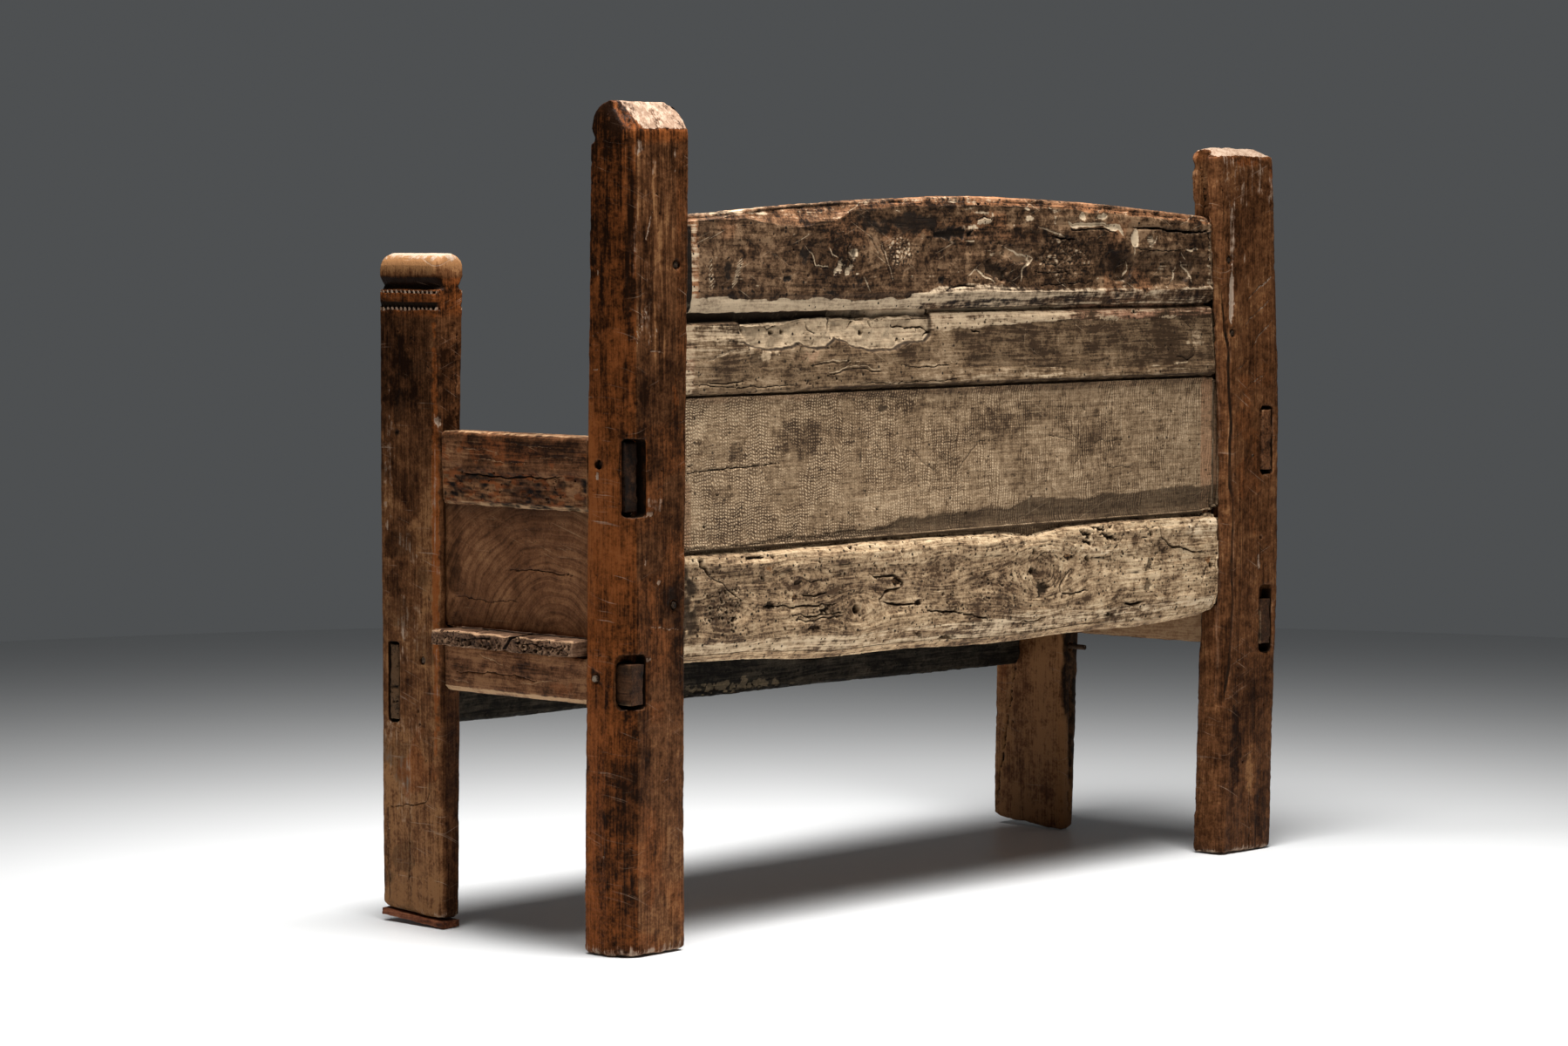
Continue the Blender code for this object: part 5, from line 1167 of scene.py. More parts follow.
def make_upper_rail():
    hollow_line = [(0.492, 0.866), (0.486, 0.856), (0.482, 0.844), (0.464, 0.838), (0.424, 0.832), (0.383, 0.836),
                   (0.365, 0.843), (0.356, 0.838), (0.329, 0.833), (0.310, 0.835), (0.292, 0.848), (0.273, 0.845),
                   (0.254, 0.837), (0.208, 0.829), (0.160, 0.832), (0.141, 0.838), (0.098, 0.838), (0.086, 0.849)]
    channel = ((0.165, 0.857), (0.130, 0.856), (0.098, 0.855), (0.085, 0.848), (0.096, 0.840))
    marks = [
        hole("rear", (0.486, 0.858), 0.0050, 0.010),
        hole("rear", (0.422, 0.853), 0.0042, 0.010),
        hole("rear", (0.397, 0.854), 0.0042, 0.010),
        hole("rear", (0.233, 0.850), 0.0050, 0.010),
        hole("rear", (0.189, 0.873), 0.0055, 0.010),
        crack("rear", ((0.301, 0.879), (0.303, 0.868), (0.308, 0.850)), 0.0085, 0.010),
        crack("rear", ((0.258, 0.858), (0.252, 0.867), (0.236, 0.873), (0.217, 0.869), (0.208, 0.858)), 0.0050, 0.006),
        crack("rear", channel, 0.0040, 0.006),
        crack("rear", ((0.44, 0.866), (0.43, 0.858), (0.41, 0.862)), 0.0024, 0.003),
        crack("rear", ((0.35, 0.868), (0.345, 0.856), (0.33, 0.850)), 0.0026, 0.003),
        patch("rear", (0.236, 0.861), (0.014, 0.007), -0.0020, pale=0.8, ragged=0.3),
        # hewn facets, stains and raised fibres
        scratch("rear", ((0.556, 0.814), (0.525, 0.824), (0.495, 0.832)), 0.0024, 0.0010, 0.8),
        patch("rear", (0.457, 0.812), (0.016, 0.015), 0.0010, grime=0.45, shade=-0.15, turn=0.7, ragged=0.3, soft=0.25),
        patch("rear", (0.432, 0.822), (0.020, 0.010), pale=0.6, ragged=0.5),
        patch("rear", (0.525, 0.806), (0.030, 0.018), shade=-0.14, ragged=0.6),
        crack("rear", ((0.556, 0.785), (0.52, 0.784), (0.482, 0.787)), 0.0034, 0.004),
        crack("rear", ((0.590, 0.782), (0.45, 0.777), (0.33, 0.780)), 0.0018, 0.003),
        scratch("rear", ((0.310, 0.793), (0.254, 0.801), (0.193, 0.797)), 0.0034, 0.0003, 0.85),
        crack("rear", ((0.312, 0.790), (0.256, 0.797), (0.190, 0.793)), 0.0024, 0.003),
        scratch("rear", ((0.350, 0.805), (0.300, 0.812), (0.240, 0.806)), 0.0026, 0.0003, 0.7),
        crack("rear", ((0.352, 0.802), (0.300, 0.809), (0.240, 0.803)), 0.0018, 0.002),
        crack("rear", ((0.25, 0.777), (0.13, 0.775), (0.024, 0.777)), 0.0022, 0.003),
        crack("rear", ((0.150, 0.800), (0.10, 0.797), (0.040, 0.800)), 0.0022, 0.003),
        scratch("rear", ((0.145, 0.803), (0.09, 0.801), (0.02, 0.803)), 0.0022, 0.0004, 0.6),
        *[hole("rear", place, 0.0024, 0.007) for place in (
            (0.264, 0.810), (0.497, 0.781), (0.289, 0.785), (0.328, 0.787), (0.107, 0.776), (0.232, 0.790))],
        patch("rear", (0.130, 0.818), (0.12, 0.013), grime=0.30, shade=-0.16, ragged=0.6),
        patch("rear", (0.340, 0.818), (0.05, 0.010), warm=0.45, ragged=0.7),
        patch("rear", (0.360, 0.792), (0.06, 0.010), grime=0.35, ragged=0.7),
        crack("rear", ((-0.005, 0.850), (-0.015, 0.848), (-0.026, 0.849)), 0.0050, 0.004),
        hole("rear", (-0.396, 0.872), 0.0042, 0.006),
        patch("rear", (-0.396, 0.872), (0.009, 0.008), pale=0.5, ragged=0.3),
        patch("rear", (-0.329, 0.862), (0.030, 0.004), 0.0008, pale=0.9, ragged=0.5),
        patch("rear", (-0.480, 0.862), (0.030, 0.004), 0.0008, pale=0.75, ragged=0.6),
        patch("rear", (-0.554, 0.824), (0.022, 0.026), pale=0.40, shade=0.12, ragged=0.6),
        crack("rear", ((-0.500, 0.800), (-0.525, 0.795), (-0.545, 0.800)), 0.0026, 0.003),
        crack("rear", ((-0.515, 0.86), (-0.540, 0.845), (-0.545, 0.82)), 0.0018, 0.002),
        *[scratch("rear", ((at, 0.850), (at - 0.002, 0.800)), 0.0022, 0.0004, 0.42) for at in (
            -0.13, -0.17, -0.21, -0.285, -0.30, -0.36, -0.43)],
        *worm_holes("rear", (-0.57, 0.775), (0.585, 0.865), 80, (0.0008, 0.0018), 77),
    ]
    timber = Timber("upper_back_rail", 0.0037, 0, 13, marks, pith=(0.15, 0.70), knots=[((0.42, 0.80), 0.03, 0.5)],
                    dense=("rear",))
    x, y, z = timber.at.T
    timber.loose[(z > 0.8800) | ((np.abs(y - 0.2245) < 0.0045) & (z < 0.786))] = 0.0
    fallen = line_at([(0.62, 0.866), (0.490, 0.868), (0.415, 0.870), (0.347, 0.876), (0.325, 0.8815), (-0.62, 0.8815)], x)
    timber.pare(np.where(z < 0.8800, (y - 0.239) * 0.35 + (z - fallen) * 0.94, 0.0), (0.0, 0.35, 0.94))
    x, y, z = timber.at.T
    sagging = 0.7735 + 0.0015 * noise(timber.at, 0.04, 58, 2)
    timber.pare(smooth(0.40, 0.25, x) * ((y - 0.239) * 0.7 - (z - sagging) * 0.71), (0.0, 0.7, -0.71))
    timber.hew(0.0022, 0.0008, 0.0026)
    x, y, z = timber.at.T
    behind = timber.faces("rear")
    # painted shadow of the crest over the set-back top of the rail's right part
    timber.tint("grime", 1.0 * (z > 0.862) * smooth(0.2330, 0.2300, y) * (x > 0.3))
    hollowed = 1 - under_line(timber, hollow_line, "rear", 0.009)
    hollowed = hollowed * smooth(0.080, 0.088, x) * smooth(0.495, 0.487, x) * smooth(-0.2, 0.3, timber.out[:, 1] + timber.out[:, 2])
    timber.cut += hollowed * (0.0065 + 0.0026 * noise(timber.at, 0.022, 25, 3))
    timber.tint("pale", 0.66 * smooth(0.4, 0.9, hollowed))
    # grime and painted shade: a dark line round the edge of the hollow
    timber.tint("grime", 3.4 * hollowed * (1 - hollowed))
    timber.tint("grime", 0.40 * hollowed * smooth(0.1, 0.6, noise(timber.at, 0.016, 43, 3)))
    # painted shadow of the crest at the top of the hollow
    timber.tint("grime", 0.7 * hollowed * smooth(0.866, 0.878, z) * smooth(0.18, 0.24, x))
    strip_line = [(0.15, 0.860), (0.064, 0.851), (-0.035, 0.856), (-0.126, 0.859), (-0.219, 0.861), (-0.51, 0.862), (-0.6, 0.866)]
    strip = (1 - under_line(timber, strip_line, "rear", 0.003)) * smooth(0.12, 0.07, x) * behind
    timber.tint("pale", strip * (0.62 + 0.1 * noise(timber.grain, np.array([0.08, 0.006, 0.006]), 59, 2)
                                 - 0.36 * smooth(-0.15, -0.28, x)))
    timber.tint("warm", strip * (0.60 + 0.4 * smooth(-0.15, -0.28, x)))
    timber.shade -= 0.14 * strip * smooth(-0.15, -0.28, x)
    foot_line = [(0.20, 0.772), (0.063, 0.797), (-0.111, 0.793), (-0.240, 0.787), (-0.400, 0.783), (-0.510, 0.788), (-0.60, 0.793)]
    foot = under_line(timber, foot_line, "rear", 0.003)
    dark = smooth(0.07, 0.0, x) * (1 - strip) * (1 - foot) * behind
    timber.shade -= 0.20 * dark
    timber.tint("grime", 0.30 * dark * smooth(-0.2, 0.5, noise(timber.at, 0.04, 60, 3)))
    timber.cut += 0.0012 * dark
    timber.tint("pale", 0.30 * foot)
    timber.tint("pale", 0.45 * smooth(0.004, 0.0, np.abs(z - line_at(foot_line, x) - 0.001)) * behind * smooth(0.1, 0.0, x)
                * smooth(-0.2, 0.3, noise(timber.at, 0.03, 61, 2)))
    # painted shadow along the rail's lower edge, except at its right end
    shadowed = smooth(0.7735, 0.7700, z) * smooth(0.38, 0.25, x)
    timber.tint("grime", 0.85 * shadowed * smooth(-0.5, -0.2, timber.out[:, 1] - 1.0))
    timber.shade -= 0.3 * shadowed
    timber.tint("pale", 0.50 * smooth(0.572, 0.588, x) * behind)
    timber.tint("warm", 0.60 * smooth(0.572, 0.588, x) * behind)
    timber.tint("pale", 0.35 * behind * smooth(0.33, 0.42, x) * smooth(0.795, 0.85, z))
    timber.finish(FINISHES["dry_board"], "dry_board")


def make_panel():
    ragged = [(0.60, 0.556), (0.465, 0.556), (0.425, 0.564), (0.325, 0.563), (0.274, 0.565), (0.204, 0.566), (0.137, 0.577),
              (0.064, 0.578), (0.005, 0.582), (-0.106, 0.583), (-0.152, 0.593), (-0.271, 0.589), (-0.433, 0.592),
              (-0.482, 0.596), (-0.60, 0.594)]
    marks = [
        patch("rear", (0.357, 0.702), (0.060, 0.028), shade=-0.30, ragged=0.6),
        patch("rear", (0.494, 0.691), (0.018, 0.024), shade=-0.26, ragged=0.6),
        patch("rear", (0.232, 0.669), (0.004, 0.018), 0.0006, grime=0.75, ragged=0.3),
        patch("rear", (-0.064, 0.703), (0.09, 0.030), shade=-0.22, ragged=0.7),
        patch("rear", (-0.30, 0.68), (0.10, 0.035), shade=-0.18, ragged=0.7),
        patch("rear", (-0.20, 0.72), (0.10, 0.020), shade=-0.12, ragged=0.7),
        patch("rear", (0.183, 0.739), (0.014, 0.007), 0.0008, grime=0.9, ragged=0.4),
        patch("rear", (0.13, 0.742), (0.09, 0.010), shade=-0.18, ragged=0.6),
        patch("rear", (0.56, 0.72), (0.03, 0.03), shade=0.12, ragged=0.6),
        patch("rear", (0.10, 0.600), (0.35, 0.020), shade=0.10, ragged=0.5),
        patch("rear", (0.566, 0.60), (0.02, 0.05), shade=0.10, ragged=0.6),
        crack("rear", ((0.594, 0.662), (0.55, 0.662), (0.48, 0.665), (0.403, 0.667)), 0.0022, 0.004),
        crack("rear", ((0.594, 0.671), (0.585, 0.670), (0.578, 0.673)), 0.0022, 0.004),
        crack("rear", ((0.204, 0.692), (0.197, 0.686), (0.190, 0.677)), 0.0028, 0.002, warm=0.8, grime=0.4),
        *[crack("rear", line, 0.0018, 0.0014, grime=0.75, warm=0.5) for line in (
            ((0.137, 0.684), (0.098, 0.660), (0.059, 0.636)),
            ((0.047, 0.616), (0.009, 0.650), (-0.029, 0.682), (-0.095, 0.692)),
            ((-0.234, 0.701), (-0.252, 0.686), (-0.271, 0.673)), ((-0.192, 0.687), (-0.225, 0.683), (-0.255, 0.675)),
            ((-0.265, 0.706), (-0.265, 0.680)), ((-0.271, 0.673), (-0.276, 0.656), (-0.253, 0.637)),
            ((-0.297, 0.672), (-0.340, 0.673), (-0.378, 0.671)), ((-0.32, 0.633), (-0.40, 0.631)))],
        *[scratch("rear", ((at, low), (at + 0.002, high)), 0.0024, 0.0005, 0.8) for at, low, high in (
            (-0.347, 0.72, 0.762), (-0.372, 0.66, 0.72), (-0.365, 0.60, 0.62), (-0.150, 0.57, 0.60), (-0.20, 0.575, 0.59),
            (-0.475, 0.575, 0.60), (-0.53, 0.575, 0.605), (0.275, 0.735, 0.755))],
        *[hole("rear", place, 0.0022, 0.005) for place in (
            (0.531, 0.628), (0.557, 0.585), (0.305, 0.590), (0.197, 0.592), (-0.280, 0.723), (-0.004, 0.578))],
        *worm_holes("rear", (-0.57, 0.56), (0.58, 0.755), 50, (0.0007, 0.0015), 78),
    ]
    timber = Timber("back_panel", 0.0042, 0, 15, marks, pith=(0.05, 0.45), knots=[((0.185, 0.740), 0.03, 0.6)],
                    dense=("rear",))
    x, y, z = timber.at.T
    timber.loose[(z < 0.5515) | (z > 0.7660)] = 0.0
    timber.hew(0.0010, 0.0004, 0.0014)
    x, y, z = timber.at.T
    behind = timber.faces("rear")
    saw = noise(timber.at, np.array([0.0065, 0.5, 0.09]), 28, 2)
    coarse = smooth(-0.06, 0.0, x) * smooth(0.14, 0.09, x) * smooth(0.60, 0.63, z)
    timber.cut += (0.00025 + 0.0008 * coarse) * saw * behind
    timber.shade += 0.10 * coarse * np.clip(-saw, -0.6, 0.6) * behind
    planed = under_line(timber, ragged, "rear", 0.002)
    timber.cut += 0.0030 * planed * smooth(0.60, 0.553, z)
    timber.tint("grime", 0.55 * planed * smooth(0.45, 0.2, x))
    timber.shade -= 0.20 * planed
    bevel = smooth(-0.566, -0.574, x) * behind
    timber.cut += 0.004 * smooth(-0.566, -0.600, x) * behind
    timber.tint("warm", 0.85 * bevel)
    # painted light: the end strip faces away from the light and is lightened; its red-brown is the wood's own
    timber.shade += 0.20 * bevel
    timber.tint("warm", 0.5 * smooth(0.752, 0.757, z + 0.002 * noise(timber.at, 0.03, 62, 2)) * behind)
    # painted shadow under the upper rail along the top of the panel, except at its right end
    timber.shade -= 0.16 * smooth(0.752, 0.757, z) * behind * smooth(0.35, 0.20, x)
    timber.tint("warm", 0.8 * smooth(0.575, 0.590, x) * smooth(0.66, 0.64, z) * behind)
    timber.shade += 0.10 * smooth(0.54, 0.58, x) * behind
    timber.finish(FINISHES["sawn_panel"], "dry_board")


def make_lower_rail():
    ledge = [(0.60, 0.536), (0.549, 0.532), (0.474, 0.522), (0.353, 0.521), (0.279, 0.525), (0.213, 0.519), (0.09, 0.512),
             (0.0, 0.517), (-0.142, 0.514), (-0.235, 0.505), (-0.30, 0.500), (-0.46, 0.508), (-0.60, 0.49)]
    knots = [((-0.170, 0.478), 0.050, 0.95), ((0.246, 0.449), 0.030, 0.9),
             ((0.371, 0.497), 0.028, 0.8), ((0.05, 0.50), 0.035, 0.6), ((-0.30, 0.44), 0.03, 0.6), ((0.505, 0.452), 0.03, 0.7)]
    marks = [
        # knots and their holes
        hole("rear", (0.246, 0.449), 0.0085, 0.014),
        patch("rear", (0.246, 0.451), (0.022, 0.018), 0.0010, shade=-0.2, ragged=0.3),
        hole("rear", (0.505, 0.452), 0.0050, 0.010),
        hole("rear", (-0.148, 0.482), 0.0065, 0.012),
        hole("rear", (-0.151, 0.512), 0.0052, 0.010),
        hole("rear", (-0.280, 0.495), 0.0058, 0.010),
        hole("rear", (-0.336, 0.544), 0.0062, 0.010),
        hole("rear", (-0.436, 0.524), 0.0052, 0.010),
        hole("rear", (-0.594, 0.465), 0.0062, 0.012),
        hole("rear", (0.261, 0.542), 0.0050, 0.010),
        patch("rear", (-0.178, 0.486), (0.032, 0.024), 0.0012, shade=-0.26, ragged=0.3),
        patch("rear", (-0.173, 0.454), (0.012, 0.010), 0.0040, grime=0.75, ragged=0.7),
        patch("rear", (-0.150, 0.482), (0.014, 0.012), 0.0020, grime=0.6, ragged=0.5),
        # orange and black crevices
        crack("rear", ((0.577, 0.550), (0.571, 0.534), (0.553, 0.515)), 0.0085, 0.012),
        crack("rear", ((0.553, 0.515), (0.527, 0.503), (0.488, 0.477)), 0.0024, 0.004),
        patch("rear", (0.465, 0.541), (0.020, 0.007), 0.0060, grime=0.6, shade=-0.2, ragged=0.5),
        patch("rear", (0.434, 0.520), (0.016, 0.006), warm=1.0, ragged=0.6),
        patch("rear", (0.373, 0.497), (0.011, 0.006), 0.0030, warm=1.0, grime=0.45, ragged=0.4),
        crack("rear", ((0.362, 0.500), (0.345, 0.496), (0.320, 0.499)), 0.0024, 0.003),
        crack("rear", ((0.366, 0.477), (0.340, 0.476), (0.309, 0.477)), 0.0046, 0.005, warm=1.0, grime=0.55),
        patch("rear", (0.380, 0.474), (0.006, 0.008), 0.0030, warm=1.0, grime=0.5, ragged=0.4),
        crack("rear", ((0.436, 0.468), (0.380, 0.462), (0.330, 0.460), (0.288, 0.461)), 0.0034, 0.005),
        patch("rear", (0.428, 0.467), (0.012, 0.006), 0.0050, grime=0.8, ragged=0.7),
        patch("rear", (0.318, 0.453), (0.018, 0.006), 0.0050, grime=0.85, ragged=0.7),
        crack("rear", ((0.392, 0.452), (0.335, 0.446), (0.275, 0.447)), 0.0030, 0.005),
        crack("rear", ((0.385, 0.443), (0.335, 0.440), (0.275, 0.443)), 0.0026, 0.004),
        patch("rear", (0.334, 0.429), (0.017, 0.0045), 0.0050, grime=0.75, warm=0.7, ragged=0.3),
        crack("rear", ((0.274, 0.500), (0.279, 0.463), (0.266, 0.432)), 0.0030, 0.002, pale=0.6, grime=0.2),
        crack("rear", ((0.222, 0.501), (0.199, 0.493), (0.170, 0.495), (0.146, 0.484), (0.151, 0.476), (0.184, 0.470),
                       (0.199, 0.458), (0.194, 0.442)), 0.0056, 0.007, warm=0.5),
        patch("rear", (0.158, 0.485), (0.016, 0.007), 0.0050, warm=1.0, grime=0.55, ragged=0.5),
        crack("rear", ((0.193, 0.456), (0.141, 0.449), (0.112, 0.452)), 0.0042, 0.007),
        patch("rear", (0.108, 0.451), (0.008, 0.006), 0.0060, warm=1.0, grime=0.6, ragged=0.4),
        crack("rear", ((0.093, 0.438), (0.055, 0.432), (0.009, 0.430)), 0.0042, 0.008),
        crack("rear", ((0.009, 0.428), (-0.020, 0.422), (-0.050, 0.415)), 0.0034, 0.006),
        patch("rear", (0.102, 0.400), (0.011, 0.004), 0.0060, warm=0.8, grime=0.6, turn=0.3, ragged=0.4),
        patch("rear", (0.039, 0.392), (0.020, 0.0045), 0.0060, warm=1.0, grime=0.4, ragged=0.3),
        crack("rear", ((-0.122, 0.405), (-0.155, 0.404), (-0.190, 0.408)), 0.0030, 0.004),
        # broken cluster under the left half's top edge
        patch("rear", (-0.277, 0.532), (0.017, 0.006), 0.0080, grime=0.85, turn=0.1, ragged=0.6, soft=0.35),
        patch("rear", (-0.327, 0.526), (0.020, 0.006), 0.0070, grime=0.80, turn=0.3, ragged=0.6, soft=0.35),
        patch("rear", (-0.277, 0.519), (0.018, 0.004), 0.0060, grime=0.80, turn=0.15, ragged=0.6, soft=0.35),
        patch("rear", (-0.305, 0.540), (0.020, 0.004), 0.0050, grime=0.75, turn=0.2, ragged=0.6, soft=0.35),
        patch("rear", (-0.235, 0.498), (0.013, 0.006), 0.0030, warm=1.0, grime=0.45, ragged=0.5),
        patch("rear", (-0.300, 0.505), (0.050, 0.010), -0.0008, pale=0.5, ragged=0.6),
        crack("rear", ((-0.238, 0.481), (-0.222, 0.465), (-0.214, 0.452), (-0.216, 0.445)), 0.0056, 0.007),
        crack("rear", ((-0.216, 0.445), (-0.250, 0.442), (-0.283, 0.444)), 0.0036, 0.005),
        patch("rear", (-0.312, 0.483), (0.011, 0.008), shade=-0.35, ragged=0.5),
        patch("rear", (-0.434, 0.475), (0.009, 0.019), 0.0024, grime=0.75, turn=0.3, ragged=0.4),
        patch("rear", (-0.434, 0.442), (0.011, 0.009), 0.0020, grime=0.6, ragged=0.5),
        crack("rear", ((-0.375, 0.420), (-0.390, 0.416), (-0.420, 0.418)), 0.0070, 0.008),
        patch("rear", (-0.395, 0.512), (0.017, 0.009), shade=-0.40, ragged=0.5),
        patch("rear", (-0.342, 0.401), (0.012, 0.004), 0.0050, grime=0.8, ragged=0.5),
        crack("rear", ((-0.457, 0.538), (-0.461, 0.519), (-0.483, 0.504), (-0.520, 0.496), (-0.556, 0.487)), 0.0052, 0.006),
        patch("rear", (-0.465, 0.500), (0.028, 0.020), 0.0012, shade=-0.25, ragged=0.4),
        crack("rear", ((-0.582, 0.466), (-0.575, 0.452), (-0.568, 0.438)), 0.0042, 0.005),
        patch("rear", (-0.582, 0.474), (0.012, 0.008), 0.0014, warm=1.0, ragged=0.5),
        *worm_holes("rear", (-0.58, 0.42), (0.57, 0.54), 210, (0.0012, 0.0028), 79),
        *worm_holes("rear", (0.49, 0.45), (0.565, 0.495), 60, (0.0012, 0.0026), 82),
        *worm_holes("rear", (-0.15, 0.43), (0.06, 0.50), 70, (0.0012, 0.0026), 83),
    ]
    timber = Timber("lower_back_rail", 0.0042, 0, 17, marks, pith=(0.08, 0.40), knots=knots, dense=("rear",))
    x, y, z = timber.at.T
    timber.loose[(np.abs(y - 0.2245) < 0.0045) & (z > 0.528)] = 0.0
    timber.hew(0.0035, 0.0014, 0.0030)
    x, y, z = timber.at.T
    behind = timber.faces("rear")
    below = under_line(timber, ledge, "rear", 0.007)
    timber.cut += 0.0026 * below
    timber.shade -= 0.05 * below * smooth(0.60, 0.45, np.abs(x - 0.1)) + 0.08 * smooth(0.2, 0.4, x) * behind
    timber.shade += 0.08 * smooth(-0.2, -0.4, x) * behind
    timber.tint("warm", 0.35 * below * smooth(0.0, 0.6, noise(timber.at, 0.05, 63, 2)))
    burl = noise(timber.grain, np.array([0.040, 0.009, 0.009]), 31, 3)
    timber.cut += 0.0018 * np.abs(burl) * behind
    furrow = smooth(0.12, 0.02, np.abs(burl)) * smooth(-0.3, 0.4, noise(timber.at, 0.06, 64, 2))
    timber.tint("grime", 0.26 * furrow * behind * below)
    timber.tint("grime", 0.22 * smooth(0.25, 0.75, noise(timber.grain, np.array([0.06, 0.012, 0.012]), 32, 2)) * behind)
    whorl = np.hypot((x + 0.178) * 0.9, z - 0.484)
    rings = smooth(0.3, 0.95, np.sin(whorl * 2 * math.pi / 0.0072 + 2.6 * noise(timber.at, 0.025, 65, 2)))
    ringed = behind * smooth(0.052, 0.030, whorl) * smooth(0.010, 0.018, whorl)
    timber.cut += 0.0012 * rings * ringed
    timber.tint("grime", 0.24 * rings * ringed)
    sweep = np.hypot((x + 0.430) * 0.62, z - 0.475)
    folds = smooth(0.4, 0.95, np.sin(sweep * 2 * math.pi / 0.013 + 4.5 * noise(timber.at, 0.03, 66, 3)))
    folded = behind * smooth(0.085, 0.060, sweep) * smooth(0.020, 0.032, sweep) * smooth(-0.4, 0.4, noise(timber.at, 0.05, 69, 2))
    timber.cut += 0.0013 * folds * folded
    timber.tint("grime", 0.12 * folds * folded)
    porous = smooth(0.050, 0.030, np.hypot(x - 0.528, (z - 0.470) * 1.4) + 0.008 * noise(timber.at, 0.02, 67, 2)) * behind
    timber.cut += porous * 0.0014 * (1 + noise(timber.at, 0.007, 68, 2))
    timber.shade -= 0.26 * porous
    end = smooth(0.565, 0.585, x) * behind * smooth(0.405, 0.43, z) * smooth(0.55, 0.53, z)
    timber.cut += end * (0.003 + 0.003 * noise(timber.at, 0.014, 33, 3))
    timber.tint("grime", 0.80 * end * smooth(-0.3, 0.4, noise(timber.at, 0.02, 34, 2)))
    timber.tint("pale", 0.45 * smooth(0.436, 0.408, z) * behind)
    timber.shade += 0.10 * smooth(0.525, 0.540, z) * behind
    timber.tint("pale", 0.40 * smooth(-0.50, -0.54, x) * smooth(0.49, 0.51, z) * behind)
    timber.finish(FINISHES["live_edge"], "live_edge")


def make_arm_rails():
    marks = [
        patch("right", (0.03, 0.69), (0.16, 0.02), warm=0.8, ragged=0.6),
        patch("right", (0.12, 0.70), (0.05, 0.01), shade=-0.2, ragged=0.6),
        *[scratch("right", ((y0, z0), (y1, z1)), 0.0014, 0.0006, 0.7) for y0, z0, y1, z1 in (
            (-0.09, 0.692, 0.00, 0.689), (0.02, 0.700, 0.11, 0.697), (-0.05, 0.676, 0.06, 0.674), (0.08, 0.682, 0.16, 0.684))],
        crack("right", ((-0.08, 0.655), (0.02, 0.652), (0.13, 0.656)), 0.0030, 0.003),
        *worm_holes("right", (-0.09, 0.62), (0.16, 0.66), 46, (0.0008, 0.0022), 80),
    ]
    for end, side, voxel, seed in (("right", 1, 0.0026, 19), ("left", -1, 0.0036, 21)):
        timber = Timber(f"arm_rail_{end}", voxel, 1, seed, marks if side > 0 else (), pith=(side * 0.70, 0.60))
        timber.hew(0.0012, 0.0005, 0.0016)
        x, y, z = timber.at.T
        outer = timber.faces(end)
        charred = outer * smooth(0.668, 0.655, z + 0.006 * noise(timber.at, 0.03, 35, 2))
        timber.cut += charred * (0.0014 + 0.0022 * np.abs(noise(timber.at, np.array([0.02, 0.03, 0.009]), 36, 3)))
        timber.tint("grime", charred * (0.42 + 0.5 * noise(timber.at, np.array([0.02, 0.016, 0.005]), 37, 3)))
        timber.tint("warm", charred * smooth(0.0, 0.4, noise(timber.at, np.array([0.02, 0.016, 0.005]), 38, 2)))
        timber.shade += 0.15 * charred
        # pale chamfer wood and a painted highlight: a pale line along the lower chamfer of the outer face
        timber.tint("pale", 0.50 * smooth(0.618, 0.611, z) * smooth(0.2, 0.5, side * timber.out[:, 0]))
        timber.tint("pale", 0.40 * smooth(0.6, 0.9, timber.out[:, 2]) * (y < 0.17))
        timber.tint("grime", (0.75 if side > 0 else 0.25) * (y > 0.195))
        timber.finish(FINISHES["waxed_rail"], "waxed_rail")


def make_side_panels():
    for end, side, voxel, seed in (("right", 1, 0.0028, 23), ("left", -1, 0.0036, 25)):
        marks = [
            patch(end, (-0.10, 0.53), (0.02, 0.10), shade=-0.2, ragged=0.5),
            crack(end, ((0.15, 0.52), (0.08, 0.525), (0.0, 0.521)), 0.0018, 0.003),
            crack(end, ((-0.10, 0.478), (-0.03, 0.475), (0.03, 0.479)), 0.0016, 0.002),
        ]
        timber = Timber(f"side_panel_{end}", voxel, 1, seed, marks)
        arcs = np.hypot((timber.at[:, 1] - 0.111) / 1.25, timber.at[:, 2] - 0.425)
        timber.grain[:, 0] = timber.at[:, 1] * 0.3
        timber.grain[:, 1] = 0.0
        timber.grain[:, 2] = arcs + 0.010 * noise(timber.at, 0.10, seed, 3)
        timber.hew(0.0008, 0.0005, 0.0010)
        timber.shade += 0.14
        # painted shadow under the arm rail, along the top of the panel
        timber.tint("grime", 0.5 * smooth(0.58, 0.612, timber.at[:, 2]))
        timber.finish(FINISHES["arched_panel"], "waxed_rail")


